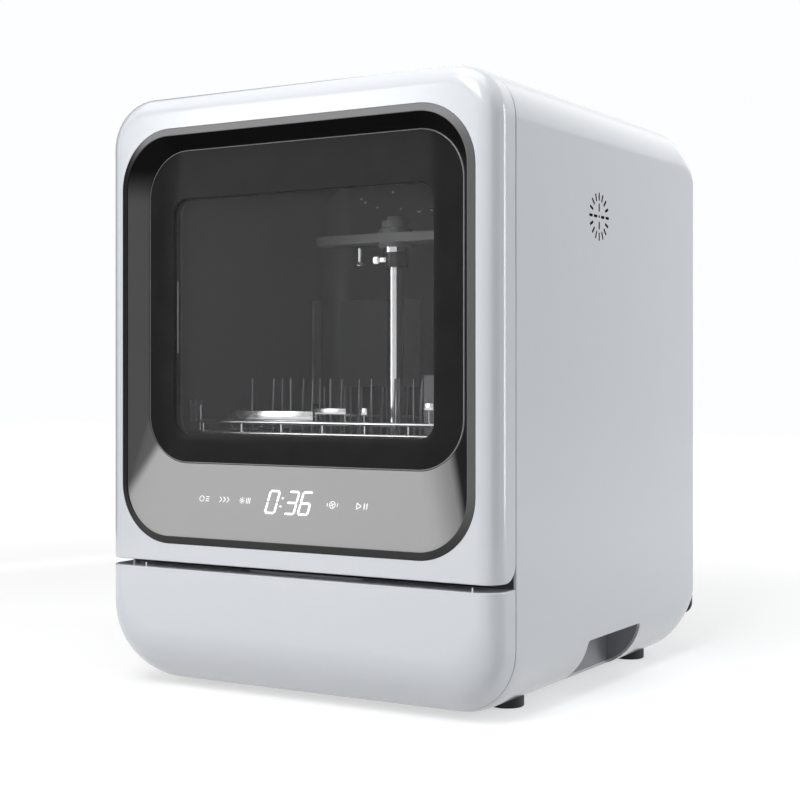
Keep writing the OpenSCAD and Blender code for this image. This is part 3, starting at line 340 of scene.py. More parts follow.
class Field:
    """A shader socket that takes part in arithmetic; each operation adds one Math node."""

    def __init__(self, nodes, socket):
        self.nodes = nodes
        self.socket = socket

    def math(self, operation, *values):
        return self.nodes.node("ShaderNodeMath", {"operation": operation},
                               dict(enumerate((self, *values))))

    def __add__(self, other):
        return self.math("ADD", other)

    def __rsub__(self, other):
        return self.nodes.node("ShaderNodeMath", {"operation": "SUBTRACT"}, {0: other, 1: self})

    def __mul__(self, other):
        return self.math("MULTIPLY", other)

    def __abs__(self):
        return self.math("ABSOLUTE")

    def larger(self, other):
        return self.math("MAXIMUM", other)

    def step(self, start, end):
        """0 at start and 1 at end, with a soft change between them."""
        return self.nodes.node("ShaderNodeMapRange", {"interpolation_type": "SMOOTHSTEP"},
                               {"Value": self, "From Min": start, "From Max": end})


class Nodes:
    """A node tree that is built from nothing."""

    def __init__(self, tree):
        self.tree = tree
        tree.nodes.clear()

    def node(self, kind, settings=None, inputs=None, out=0):
        """Adds a node with its settings, then the values or links of its sockets."""
        node = self.tree.nodes.new(kind)
        for key, value in (settings or {}).items():
            setattr(node, key, value)
        for key, value in (inputs or {}).items():
            if isinstance(value, Field):
                self.tree.links.new(value.socket, node.inputs[key])
            else:
                node.inputs[key].default_value = value
        return node if out is None else Field(self, node.outputs[out])

    def seen(self):
        """1 for rays that look at something, straight, mirrored or through glass; 0 for light."""
        path = self.node("ShaderNodeLightPath", out=None)
        straight, mirrored, through = (
            Field(self, path.outputs[f"Is {kind} Ray"])
            for kind in ("Camera", "Glossy", "Transmission"))
        return straight.larger(mirrored).larger(through)


class Finish(Nodes):
    """One procedural material: a Principled shader and what feeds it."""

    def __init__(self, name):
        self.material = bpy.data.materials.new(name)
        self.material.use_nodes = True
        super().__init__(self.material.node_tree)
        surface = self.node("ShaderNodeBsdfPrincipled")
        self.shader = surface.socket.node
        self.node("ShaderNodeOutputMaterial", {}, {"Surface": surface}, out=None)
        self.place = self.node("ShaderNodeTexCoord", out="Object")

    def set(self, **values):
        """Constants on the shader's own sockets."""
        for key, value in values.items():
            self.shader.inputs[key.replace("_", " ")].default_value = value

    def feed(self, key, field):
        """Links a varying value or colour to the shader."""
        self.tree.links.new(field.socket, self.shader.inputs[key])

    def stretched(self, scale, turn=(0, 0, 0)):
        """Object coordinates, stretched and turned."""
        return self.node("ShaderNodeMapping", {},
                         {"Vector": self.place, "Scale": scale, "Rotation": turn})

    def grain(self, scale, detail=2.0, rough=0.5, place=None):
        """Noise over the piece, as a value about 0.5."""
        return self.node("ShaderNodeTexNoise", {}, {
            "Vector": place or self.place, "Scale": scale, "Detail": detail, "Roughness": rough})

    def axis(self, name):
        """The object coordinate along one axis."""
        split = self.node("ShaderNodeSeparateXYZ", {}, {"Vector": self.place}, out=None)
        return Field(self, split.outputs[name])

    def mix(self, factor, first, second):
        """A colour between two colours."""
        def colour(value):
            return value if isinstance(value, Field) else (*value[:3], 1.0)
        return self.node("ShaderNodeMix", {"data_type": "RGBA"},
                         {0: factor, 6: colour(first), 7: colour(second)}, out=2)

    def shades(self, factor, colour, dark, light):
        """One colour between a darker and a lighter shade of itself."""
        return self.mix(factor, scaled(colour, dark), scaled(colour, light))

    def bump(self, height, strength, distance):
        self.feed("Normal", self.node("ShaderNodeBump", {}, {
            "Height": height, "Strength": strength, "Distance": distance}))


def scaled(colour, factor):
    return tuple(min(c * factor, 1.0) for c in colour[:3])


def colours():
    return bpy.context.scene.dishwasher_colours


def sizes():
    return bpy.context.scene.dishwasher_sizes


# ------------------------------------------------------------------ finishes


def moulded(name, colour, rough, strength=0.25, spread=0.06):
    """Moulded plastic with a fine spark-eroded grain and slight flow marks."""
    f = Finish(name)
    f.feed("Base Color", f.shades(f.grain(9.0, 3.0), colour, 1 - spread, 1 + spread))
    fine = f.grain(900.0)
    f.feed("Roughness", fine * 0.10 + (rough - 0.05))
    f.bump(fine, strength, 0.05 * MM)
    return f.material


def cabinet_paint():
    """Cool white satin paint with a faint orange peel."""
    f = Finish("cabinet_paint")
    f.feed("Base Color", f.shades(f.grain(5.0), colours().paint, 0.985, 1.015))
    peel = f.grain(420.0)
    f.feed("Roughness", peel * 0.05 + 0.27)
    f.set(Specular_IOR_Level=0.32, Coat_Weight=0.9, Coat_Roughness=0.14)
    f.bump(peel, 0.05, 0.05 * MM)
    return f.material


def ring_metal():
    """Dark anodised ring with fine turning lines, with painted shade below, a painted highlight on
    top and painted shade that turns the left side black.
    """
    f = Finish("ring_metal")
    base = colours().ring
    lines = f.grain(90.0, 3.0, place=f.stretched((1, 30, 1)))
    # painted shade on the lower part (low), painted highlight on the top (high) and painted shade
    # that blackens the left side (left), set by height and by x
    low = f.axis("Z").step(RING_LOW.z + 60 * MM, RING_LOW.z + 5 * MM)
    high = f.axis("Z").step(RING_HIGH.z - 30 * MM, RING_HIGH.z - 4 * MM)
    left = f.axis("X").step(-150 * MM, -176 * MM)
    # the turned metal darkened below as painted shade, lightened on top as painted highlight, then
    # painted black at the left as painted shade
    turned = f.mix(low, f.shades(lines, base, 0.9, 1.12), scaled(base, 0.30))
    shaded = f.mix(high, turned, scaled(base, 1.70))
    f.feed("Base Color", f.mix(left, shaded, (0.006, 0.006, 0.006)))
    f.feed("Roughness", lines * 0.12 + 0.30)
    f.set(Specular_IOR_Level=0.15)
    f.bump(lines, 0.1, 0.03 * MM)
    return f.material


def fascia_satin():
    """Satin grey panel with painted shade that turns it black beside and above the glass.

    The grey ends at a slanted line at each lower corner of the glass, further in on the right,
    where the painted shade is darkest.
    """
    f = Finish("fascia_satin")
    base = colours().fascia
    height, across = f.axis("Z"), abs(f.axis("X"))
    flakes = f.grain(2600.0, 1.0)
    # painted shade: the top wall of the recess, which faces down, goes black
    painted_shade_top = height.step(GLASS_HIGH.z - 50 * MM, GLASS_HIGH.z - 14 * MM)
    right = f.axis("X").step(0, 10 * MM)
    # painted shade on the slanted side walls of the recess, darker on the right wall, and painted
    # shade over the right end of the panel
    diagonal = across + height * 0.51 + right * (29.4 * MM - height * 0.13)
    wall = diagonal.step(GLASS_HIGH.x + 95 * MM, GLASS_HIGH.x + 107 * MM)
    shade = right * diagonal.step(GLASS_HIGH.x + 60 * MM, GLASS_HIGH.x + 105 * MM)
    foot = f.mix(shade, f.shades(flakes, base, 0.94, 1.06), scaled(base, 0.5))
    middle = f.mix(wall, foot, f.shades(right, base, 0.27, 0.03))
    f.feed("Base Color", f.mix(painted_shade_top, middle, (0.004, 0.004, 0.004)))
    f.feed("Roughness", flakes * 0.06 + 0.42)
    f.set(Specular_IOR_Level=0.05)
    f.bump(flakes, 0.04, 0.02 * MM)
    return f.material


def border_glass():
    """Glass with black print behind it."""
    f = Finish("border_glass")
    print_grain = f.grain(30.0)
    f.feed("Base Color", f.shades(print_grain, colours().border, 0.8, 1.3))
    f.feed("Roughness", print_grain * 0.02 + 0.05)
    f.set(Specular_IOR_Level=0.035)
    return f.material


def polished_edge():
    """Ground and polished edge of the glass."""
    f = Finish("polished_edge")
    ground = f.grain(500.0)
    f.feed("Base Color", f.mix(ground, (0.22, 0.22, 0.22), (0.32, 0.32, 0.33)))
    f.feed("Roughness", ground * 0.1 + 0.2)
    return f.material


def window_glass(name, alpha, tint):
    """Thin tinted glass that lets light through."""
    f = Finish(name)
    film = f.grain(12.0)
    f.feed("Base Color", f.shades(film, tint, 0.9, 1.1))
    f.feed("Roughness", film * 0.02 + 0.03)
    f.feed("Alpha", film * 0.006 + (alpha - 0.003))
    f.set(Specular_IOR_Level=0.1)
    return f.material


def polished_steel(name, colour, rough):
    """Polished steel with faint drawing lines."""
    f = Finish(name)
    drawn = f.grain(160.0, 3.0, place=f.stretched((1, 1, 0.05)))
    f.feed("Base Color", f.shades(drawn, colour, 0.92, 1.05))
    f.feed("Roughness", drawn * 0.08 + rough)
    f.set(Metallic=1.0)
    return f.material


def brushed_steel(name, colour, rough=0.34, scale=(0.03, 1, 1)):
    """Brushed or zinc-plated sheet."""
    f = Finish(name)
    brushed = f.grain(700.0, 4.0, place=f.stretched(scale))
    tone = brushed * 0.6 + f.grain(14.0, 3.0) * 0.4
    f.feed("Base Color", f.shades(tone, colour, 0.82, 1.12))
    f.feed("Roughness", brushed * 0.14 + (rough - 0.07))
    f.set(Metallic=1.0)
    f.bump(brushed, 0.12, 0.03 * MM)
    return f.material


def chamber_liner():
    """Smooth dark liner of the wash chamber with a soft sheen."""
    f = Finish("chamber_liner")
    fine = f.grain(350.0)
    f.feed("Base Color", f.shades(f.grain(7.0, 3.0), colours().chamber, 0.88, 1.12))
    f.feed("Roughness", fine * 0.08 + 0.38)
    f.set(Metallic=0.2)
    f.bump(fine, 0.08, 0.04 * MM)
    return f.material


def rubber(name, colour=(0.028, 0.028, 0.030)):
    """Matt rubber with a little dust in its grain."""
    f = Finish(name)
    dust = f.grain(60.0, 4.0)
    f.feed("Base Color", f.shades(dust, colour, 0.8, 1.5))
    f.feed("Roughness", dust * 0.15 + 0.62)
    f.bump(f.grain(1500.0), 0.3, 0.06 * MM)
    return f.material


def felt(name, colour=(0.10, 0.095, 0.09)):
    """Needled felt with its fibres along one way."""
    f = Finish(name)
    fibres = f.grain(500.0, 6.0, 0.7, f.stretched((1, 0.3, 1)))
    f.feed("Base Color", f.shades(fibres, colour, 0.6, 1.6))
    f.feed("Roughness", fibres * 0.1 + 0.85)
    f.bump(fibres, 0.6, 0.3 * MM)
    return f.material


def circuit_board(name):
    """Green solder mask with paler tracks."""
    f = Finish(name)
    tracks = f.node("ShaderNodeTexBrick", {"offset": 0.5}, {
        "Vector": f.stretched((1, 1, 1), turn=(math.radians(90), 0, 0)),
        "Scale": 160.0, "Mortar Size": 0.03}, out="Fac")
    base = f.mix(f.grain(25.0), (0.010, 0.075, 0.035), (0.014, 0.095, 0.045))
    f.feed("Base Color", f.mix(tracks, base, (0.05, 0.20, 0.09)))
    f.feed("Roughness", tracks * 0.1 + 0.35)
    f.bump(tracks, 0.2, 0.05 * MM)
    return f.material


def milky_tank(name):
    """Milky plastic of the water tank, a little clear."""
    f = Finish(name)
    cloud = f.grain(14.0, 3.0)
    f.feed("Base Color", f.mix(cloud, (0.46, 0.51, 0.56), (0.55, 0.60, 0.65)))
    f.feed("Roughness", cloud * 0.08 + 0.20)
    f.feed("Alpha", cloud * 0.06 + 0.74)
    return f.material


def lit_white(name, level):
    """White light that shows through the panel."""
    f = Finish(name)
    glow = f.grain(200.0, 1.0)
    white = (1.0, 1.0, 1.0)
    f.feed("Base Color", f.shades(glow, white, 0.80, 0.9))
    f.feed("Emission Color", f.shades(glow, white, 0.95, 1.0))
    f.feed("Roughness", glow * 0.1 + 0.3)
    f.set(Emission_Strength=level)
    return f.material


# ------------------------------------------------------------------ skins


class DISHWASHER_OT_cabinet_skin(bpy.types.Operator):
    """Outer shell with rounded long edges, the side grille and the two handholds"""

    bl_idname = "dishwasher.cabinet_skin"
    bl_label = "Cabinet Skin"

    def sections(self, inset, front, back):
        """Outlines of the shell from front to back, made smaller by inset."""
        s = sizes()
        low, high = SHELL_LOW, SHELL_HIGH
        rear_taper = 0.45
        stations = [front + lead * MM for lead in (0, 2, 5, 9, 13, 17)]
        stations += [-100 * MM, 0.0, 90 * MM]
        stations += [back - d for d in reversed(arc_steps(s.rear_radius, 12))]
        rows = []
        for y in stations:
            depth = max(high.y - inset - y, 0.0) + TINY
            chin = rounding(s.chin_radius, y - DOOR_LOW.y)
            rear = rounding(s.rear_radius, depth)
            side = rounding(s.rear_side_radius, depth)
            shrink = 1 - rear_taper * rear / s.rear_radius
            rows.append((
                y, low.x + inset + side, high.x - inset - side,
                low.z + inset + max(chin, rear), high.z - inset - rear,
                (s.low_radius - inset) * shrink, (s.top_radius - inset) * shrink))
        return rows

    def grille(self, cutters):
        """Radial slits of the round side grille, through the right-hand wall."""
        low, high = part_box("fan_housing")
        y, z = (low.y + high.y) / 2, (low.z + high.z) / 2
        radius = (high.y - low.y) / 2 - 2 * MM
        inside, outside = SHELL_HIGH.x - 6 * MM, SHELL_HIGH.x + 4 * MM
        half_slit = 1.25 * MM
        for count, start, end in ((16, 0.66, 1.0), (4, 0.2, 0.54)):
            for i in range(count):
                turn = Matrix.Translation((0, y, z)) @ Matrix.Rotation(math.tau / count * i, 4, "X")
                add_box(cutters, (inside, start * radius, -half_slit),
                        (outside, end * radius, half_slit), 0.5 * MM, 1, turn)
        add_rod(cutters, (inside, y, z), (outside, y, z), 1.3 * MM, 16)

    def handholds(self, cutters):
        """Two notches at the lower side edges, one on each side."""
        low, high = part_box("handhold_cups")
        wall = 2.3 * MM
        for side in (-1, 1):
            ends = sorted((side * (SHELL_HIGH.x - 35 * MM), side * (SHELL_HIGH.x + 10 * MM)))
            add_box(cutters, (ends[0], low.y + wall, SHELL_LOW.z - 10 * MM),
                    (ends[1], high.y - wall, high.z - wall), 4 * MM, 5)

    def foot_holes(self, cutters):
        """Round holes that the feet stand in."""
        low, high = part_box("feet")
        foot, room = 15 * MM, 0.3 * MM
        for x in (low.x + foot, high.x - foot):
            for y in (low.y + foot, high.y - foot):
                add_rod(cutters, (x, y, -10 * MM), (x, y, 32 * MM), foot + room, 48)

    def paint_slit_shade(self, bm):
        """Gives the walls of the grille's slits a dark material: painted shade in place of the
        shadow inside the slits.
        """
        low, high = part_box("fan_housing")
        centre, reach = (low + high) / 2, (high.y - low.y) / 2
        for face in bm.faces:
            spot = face.calc_center_median()
            near = math.hypot(spot.y - centre.y, spot.z - centre.z) < reach
            if near and spot.x > SHELL_HIGH.x - sizes().skin and abs(face.normal.x) < 0.5:
                face.material_index = 1

    def execute(self, context):
        front, back = SHELL_LOW.y, SHELL_HIGH.y
        outer = self.sections(0.0, front, back)
        lip = 0.6 * MM
        first = outer.pop(0)
        edge = [inward(first, depth, rounding(lip, depth))
                for depth in (0.0, 0.1 * MM, 0.3 * MM, lip)]
        skin = sizes().skin
        inner = self.sections(skin, front + SEAM, back - skin)
        bm = bmesh.new()
        loft(bm, list(reversed(inner)) + edge + outer)
        clean(bm)
        cutters = bmesh.new()
        self.grille(cutters)
        self.handholds(cutters)
        self.foot_holes(cutters)
        bm = cut_away(bm, cutters)
        self.paint_slit_shade(bm)
        # painted shade for the walls of the grille's slits
        dark = moulded("slit_painted_shade", (0.022, 0.022, 0.024), 0.7, strength=0.05)
        finish_piece("cabinet_skin", bm, "cabinet", "shell_white", [cabinet_paint(), dark],
                     ["outer_shell"])
        return {"FINISHED"}


def rounded_front(low, high, depths, lift, corner, top_radius, round_top=True):
    """Outlines of a door or drawer front at each depth behind its front plane.

    lift(depth) gives how far the lower edge stands up, corner(depth) the lower corners' radius.
    """
    rows = []
    for depth in depths:
        back = rounding(sizes().front_radius, depth)
        top = back if round_top else 0
        rows.append((low.y + depth, low.x + back, high.x - back, low.z + lift(depth),
                     high.z - top, corner(depth), top_radius - top))
    return rows


def turn_in(rows, low=None, high=None):
    """Ends a front with a small round at its rear edge, then a step inwards by one wall."""
    last = rows.pop()
    for depth in (LIP, 0.2 * MM, 0.05 * MM, 0.0):
        rows.append(inward(last, -depth, rounding(LIP, depth + TINY), low, high))
    rows.append(inward(rows[-1], -SEAM, WALL, low, high))


class DISHWASHER_OT_door_skin(bpy.types.Operator):
    """Door frame with rounded front edges, a large opening and a rounded lower rear edge"""

    bl_idname = "dishwasher.door_skin"
    bl_label = "Door Skin"

    def execute(self, context):
        s = sizes()
        low, high = DOOR_LOW, DOOR_HIGH
        thick = high.y - low.y
        sharp = 1.2 * MM

        def lift(depth):
            rear = rounding(s.hinge_edge_radius, thick - depth + TINY)
            return max(rear, rounding(sharp, depth))

        depths = arc_steps(s.front_radius, 12)
        depths += [thick - d for d in reversed(arc_steps(s.hinge_edge_radius, 8))]
        rows = rounded_front(low, high, depths, lift, lambda depth: sharp, s.top_radius)
        turn_in(rows, low=sharp)
        rows.append((low.y + WALL, low.x + s.front_radius, high.x - s.front_radius,
                     low.z + 2 * WALL, high.z - s.front_radius,
                     sharp, s.top_radius - s.front_radius))
        bm = bmesh.new()
        front, back = loft(bm, rows)
        opening = front_edges(RING_LOW, RING_HIGH, RING_FIT)
        r = s.opening_radius
        holes = []
        for y, face in ((low.y, front), (low.y + WALL, back)):
            loop = loop_of(bm, face)
            hole = loop_of(bm, outline(bm, y, *opening, r, r, 16))
            bmesh.ops.triangle_fill(bm, use_beauty=True, use_dissolve=False, edges=loop + hole,
                                    normal=(0, -1, 0))
            holes += hole
        bmesh.ops.bridge_loops(bm, edges=holes)
        clean(bm)
        finish_piece("door_skin", bm, "door", "shell_white", [cabinet_paint()], ["door_frame"])
        return {"FINISHED"}


class DISHWASHER_OT_trim_ring(bpy.types.Operator):
    """Dark ring that slopes up to the inner edge of the opening"""

    bl_idname = "dishwasher.trim_ring"
    bl_label = "Trim Ring"

    # depth behind the front and distance in from the outer edge, in mm
    PROFILE = ((4.42, 0.0), (2.3, 0.0), (2.05, 0.05), (1.85, 0.35), (0.22, 5.3), (0.05, 5.75),
               (0.0, 6.1), (0.1, 6.45), (0.35, 6.6), (4.38, 6.6))

    def execute(self, context):
        s = sizes()
        width = s.ring_width - RING_FIT
        drawn_width = self.PROFILE[-1][1]
        rows = []
        for depth, inset in self.PROFILE:
            i = inset / drawn_width * width
            r = s.opening_radius - RING_FIT - i
            rows.append((RING_LOW.y + depth * MM, *front_edges(RING_LOW, RING_HIGH, -i), r, r,
                         CORNER_STEPS))
        rows.append(rows[0])
        bm = bmesh.new()
        loft(bm, rows, closed=False)
        clean(bm)
        finish_piece("ring_trim", bm, "door", "ring_metal", [ring_metal()], ["trim_ring"], sharp=50)
        return {"FINISHED"}


class DISHWASHER_OT_control_panel(bpy.types.Operator):
    """Sloping recess from the ring back to the glass, with the slanted control panel at its foot"""

    bl_idname = "dishwasher.control_panel"
    bl_label = "Control Panel"

    def execute(self, context):
        s = sizes()
        ring = front_edges(RING_LOW, RING_HIGH, RING_FIT - s.ring_width)
        glass = front_edges(GLASS_LOW, GLASS_HIGH, GLASS_GAP)
        rim = front_edges(RING_LOW, RING_HIGH, -0.1 * MM)
        ring_radius = s.opening_radius - s.ring_width
        glass_radius = s.glass_radius + GLASS_GAP
        rim_radius = s.opening_radius - RING_FIT - 0.1 * MM
        front, back = RING_LOW.y + RING_LEAD, GLASS_LOW.y
        rows = []
        for share in (0.0, 0.05, 0.12, 0.25, 0.4, 0.55, 0.7, 0.85, 0.95, 1.0):
            edges = (a + (b - a) * share for a, b in zip(ring, glass))
            radius = ring_radius + (glass_radius - ring_radius) * share
            rows.append((front + (back - front) * share, *edges, radius, radius))
        rows.append((back + 3.5 * MM, *glass, glass_radius, glass_radius))
        for y in (back + 3.54 * MM, RING_HIGH.y + 0.1 * MM):
            rows.append((y, *rim, rim_radius, rim_radius))
        inner = front_edges(RING_LOW, RING_HIGH, 0.02 * MM + RING_FIT - s.ring_width)
        rows.append((RING_HIGH.y + 0.06 * MM, *inner, ring_radius, ring_radius))
        rows.append(rows[0])
        bm = bmesh.new()
        loft(bm, [(*row, CORNER_STEPS) for row in rows], closed=False)
        clean(bm)
        finish_piece("control_panel", bm, "door", "fascia_grey", [fascia_satin()],
                     ["control_fascia"], sharp=40, weighted=False)
        return {"FINISHED"}


class DISHWASHER_OT_door_glass(bpy.types.Operator):
    """Outer glass with a polished edge, a black printed border and a clear window"""

    bl_idname = "dishwasher.door_glass"
    bl_label = "Door Glass"

    def execute(self, context):
        s = sizes()
        low, high = GLASS_LOW, GLASS_HIGH
        bevel, r = s.glass_bevel, s.glass_radius
        rows = []
        for depth, inset in ((0.0, bevel), (0.25 * bevel, 0.45 * bevel),
                             (0.6 * bevel, 0.12 * bevel), (bevel, 0.0)):
            rows.append((low.y + depth, *front_edges(low, high, -inset), r - inset, r - inset,
                         CORNER_STEPS))
        rows.append((high.y, *front_edges(low, high), r, r, CORNER_STEPS))
        bm = bmesh.new()
        front, back = loft(bm, rows)
        border, clear, edge = range(3)
        for face in bm.faces:
            face.material_index = edge
        window = front_edges(WINDOW_LOW, WINDOW_HIGH, -9.7 * MM)
        w = s.window_radius
        for y, face in ((low.y, front), (high.y, back)):
            loop = loop_of(bm, face)
            before = set(bm.faces)
            pane = outline(bm, y, *window, w, w, 10)
            bmesh.ops.triangle_fill(bm, use_beauty=True, use_dissolve=False,
                                    edges=loop + list(pane.edges), normal=(0, -1, 0))
            for made in set(bm.faces) - before:
                made.material_index = border
        clean(bm)
        for face in bm.faces:
            spot = face.calc_center_median()
            within = window[0] < spot.x < window[1] and window[2] < spot.z < window[3]
            if within and abs(face.normal.y) > 0.99:
                face.material_index = clear
        tinted = window_glass("tinted_window", 0.10, (0.14, 0.14, 0.143))
        finish_piece("door_glass", bm, "door", "dark_glass",
                     [border_glass(), tinted, polished_edge()], ["outer_glass"])
        return {"FINISHED"}


class DISHWASHER_OT_drawer_skin(bpy.types.Operator):
    """Drawer front whose lower edge rolls under in one large curve"""

    bl_idname = "dishwasher.drawer_skin"
    bl_label = "Drawer Skin"

    def execute(self, context):
        s = sizes()
        low = Vector((DRAWER_LOW.x, DRAWER_LOW.y, SHELL_LOW.z))
        high = DRAWER_HIGH
        thick = DOOR_HIGH.y - low.y
        front_corner, top_edge = 40 * MM, 1.5 * MM

        def lift(depth):
            return rounding(s.chin_radius, depth)

        def corner(depth):
            share = min(depth / thick, 1.0) ** 0.5
            return front_corner + (s.low_radius - front_corner) * share

        rows = rounded_front(low, high, arc_steps(thick, 22), lift, corner, top_edge,
                             round_top=False)
        turn_in(rows, high=top_edge)
        rows.append((low.y + 12 * MM, low.x + 15 * MM, high.x - 15 * MM, low.z + 45 * MM,
                     high.z - WALL, 28 * MM, top_edge))
        bm = bmesh.new()
        loft(bm, rows)
        clean(bm)
        finger_gap = bmesh.new()
        add_box(finger_gap, (-60 * MM, low.y + 14 * MM, high.z - 5 * MM),
                (60 * MM, DOOR_HIGH.y - 6 * MM, high.z + 5 * MM), 1.5 * MM, 3)
        bm = cut_away(bm, finger_gap)
        finish_piece("drawer_skin", bm, "drawer", "shell_white", [cabinet_paint()],
                     ["drawer_front"])
        return {"FINISHED"}


# ------------------------------------------------------------------ display


def panel_place():
    """Matrix that puts the XZ plane on the slanted control panel, at the height of its numbers."""
    foot_y, head_y = RING_LOW.y + RING_LEAD, GLASS_LOW.y
    foot_z = RING_LOW.z + sizes().ring_width - RING_FIT
    head_z = GLASS_LOW.z - GLASS_GAP
    lean = math.atan2(head_y - foot_y, head_z - foot_z)
    middle = Matrix.Translation((0, (foot_y + head_y) / 2, (foot_z + head_z) / 2))
    return middle @ Matrix.Rotation(-lean, 4, "X") @ Matrix.Translation((0, 0, 2 * MM))


def circle_strokes(x, radius, count):
    """Strokes round a circle that is centred at x."""
    turns = [math.tau * i / count for i in range(count + 1)]
    points = [(x + radius * math.cos(turn), radius * math.sin(turn)) for turn in turns]
    return list(zip(points, points[1:]))


def ray_strokes(x, count, start, inner, outer):
    """Strokes that stand round the centre x, from the inner to the outer radius."""
    turns = [math.tau / count * i + start for i in range(count)]
    return [tuple((x + reach * math.cos(turn), reach * math.sin(turn)) for reach in (inner, outer))
            for turn in turns]


def upright_strokes(places, half_height):
    return [((x, half_height), (x, -half_height)) for x in places]


class DISHWASHER_OT_display(bpy.types.Operator):
    """Lit seven-segment numbers and five plain pictograms on the slanted panel"""

    bl_idname = "dishwasher.display"
    bl_label = "Display"

    SEGMENTS = {"0": "abcdef", "3": "abgcd", "6": "afgecd"}

    # centre of each touch key's sign, then its strokes, in mm
    SIGNS = (
        # a ring and three waves: rinse
        (-94.8, [*circle_strokes(-2, 2.4, 14), *(((2.4, z), (6, z)) for z in (-1.9, 0, 1.9))]),
        # three forward arrows: quick
        (-72.1, [((x - 1.6, z), (x + 1, 0)) for x in (-3.6, 0.4, 4.4) for z in (2.4, -2.4)]),
        # a dot with rays, and rising heat: hygiene
        (-49.8, [*circle_strokes(-3, 1.2, 8), *ray_strokes(-3, 8, 0, 1.9, 2.9),
                 *upright_strokes((1.8, 3.6, 5.4), 2.6)]),
        # a fan between two bars: dry
        (41.3, [*circle_strokes(0, 2.9, 18), *ray_strokes(0, 4, 0.4, 0, 2.2),
                *upright_strokes((-5.2, 5.2), 1.6)]),
        # a triangle: start
        (70.6, [((-5, 2.7), (-5, -2.7)), ((-5, 2.7), (-0.6, 0)), ((-5, -2.7), (-0.6, 0))]),
    )
    PAUSE = (70.6, upright_strokes((2.4, 5.0), 2.7))

    def bar(self, bm, start, end, width):
        """One segment with pointed ends."""
        start, end = Vector(start), Vector(end)
        along = end - start
        half = width / 2
        before = set(bm.verts)
        made = bmesh.ops.create_circle(bm, cap_ends=True, segments=4, radius=math.sqrt(2))["verts"]
        square = Matrix.Rotation(math.pi / 4, 4, "Z")
        bmesh.ops.transform(bm, matrix=Matrix.Diagonal((along.length / 2, half, 1, 1)) @ square,
                            verts=made)
        bmesh.ops.bevel(bm, geom=made, offset=half * 0.8, offset_type="OFFSET", segments=1,
                        profile=0.5, affect="VERTICES", material=-1)
        middle = (start + end) / 2
        place = (Matrix.Translation((middle.x, middle.y, 0))
                 @ Matrix.Rotation(math.atan2(along.y, along.x), 4, "Z"))
        bmesh.ops.transform(bm, matrix=place, verts=[v for v in bm.verts if v not in before])

    def digit(self, bm, x, name, wide, high, stroke):
        """One seven-segment number."""
        gap = stroke * 0.28
        w, h = wide / 2, high / 2
        ends = {
            "a": ((-w + gap, h), (w - gap, h)), "g": ((-w + gap, 0), (w - gap, 0)),
            "d": ((-w + gap, -h), (w - gap, -h)), "f": ((-w, h - gap), (-w, gap)),
            "b": ((w, h - gap), (w, gap)), "e": ((-w, -gap), (-w, -h + gap)),
            "c": ((w, -gap), (w, -h + gap))}
        for key in self.SEGMENTS[name]:
            (x0, z0), (x1, z1) = ends[key]
            self.bar(bm, (x + x0, z0), (x + x1, z1), stroke)

    def stand_up(self, bm, slant, thickness):
        """Slants flat shapes, gives them thickness and lays them on the panel."""
        shear = Matrix(((1, slant, 0, 0), (0, 1, 0, 0), (0, 0, 1, 0), (0, 0, 0, 1)))
        bmesh.ops.transform(bm, matrix=shear, verts=bm.verts)
        lifted = bmesh.ops.extrude_face_region(bm, geom=list(bm.faces))["geom"]
        top = [v for v in lifted if isinstance(v, bmesh.types.BMVert)]
        bmesh.ops.translate(bm, verts=top, vec=(0, 0, thickness))
        sunk = Matrix.Translation((0, 0.2 * MM, 0))
        upright = Matrix.Rotation(math.radians(90), 4, "X")
        bmesh.ops.transform(bm, matrix=panel_place() @ sunk @ upright, verts=bm.verts)
        clean(bm)

    def numbers(self):
        """The time: 0:36, with its colon as two short bars."""
        high = sizes().digit_height
        wide, stroke = high * 0.47, high * 0.078
        middle = -4 * MM
        bm = bmesh.new()
        for name, shift in (("0", -0.785), ("3", 0.185), ("6", 0.865)):
            self.digit(bm, middle + shift * high, name, wide, high - stroke, stroke)
        x = middle - 0.32 * high
        for z in (-0.17 * high, 0.17 * high):
            self.bar(bm, (x - stroke / 2, z), (x + stroke / 2, z), stroke)
        self.stand_up(bm, 0.16, 0.55 * MM)
        finish_piece("display_numbers", bm, "door", "fascia_grey",
                     [lit_white("display_white", 1.3)], weighted=False)

    def pictograms(self):
        """Plain signs for the five touch keys: rinse, quick, hygiene, dry, start and pause."""
        line = 0.55 * MM
        bm = bmesh.new()
        signs = [(*sign, line) for sign in self.SIGNS] + [(*self.PAUSE, 1.3 * line)]
        for x, strokes, width in signs:
            for stroke in strokes:
                start, end = (((x + across) * MM, up * MM) for across, up in stroke)
                self.bar(bm, start, end, width)
        self.stand_up(bm, 0.0, 0.5 * MM)
        finish_piece("display_signs", bm, "door", "fascia_grey",
                     [lit_white("sign_white", 0.50)], weighted=False)

    def execute(self, context):
        self.numbers()
        self.pictograms()
        return {"FINISHED"}


# ------------------------------------------------------------------ inside


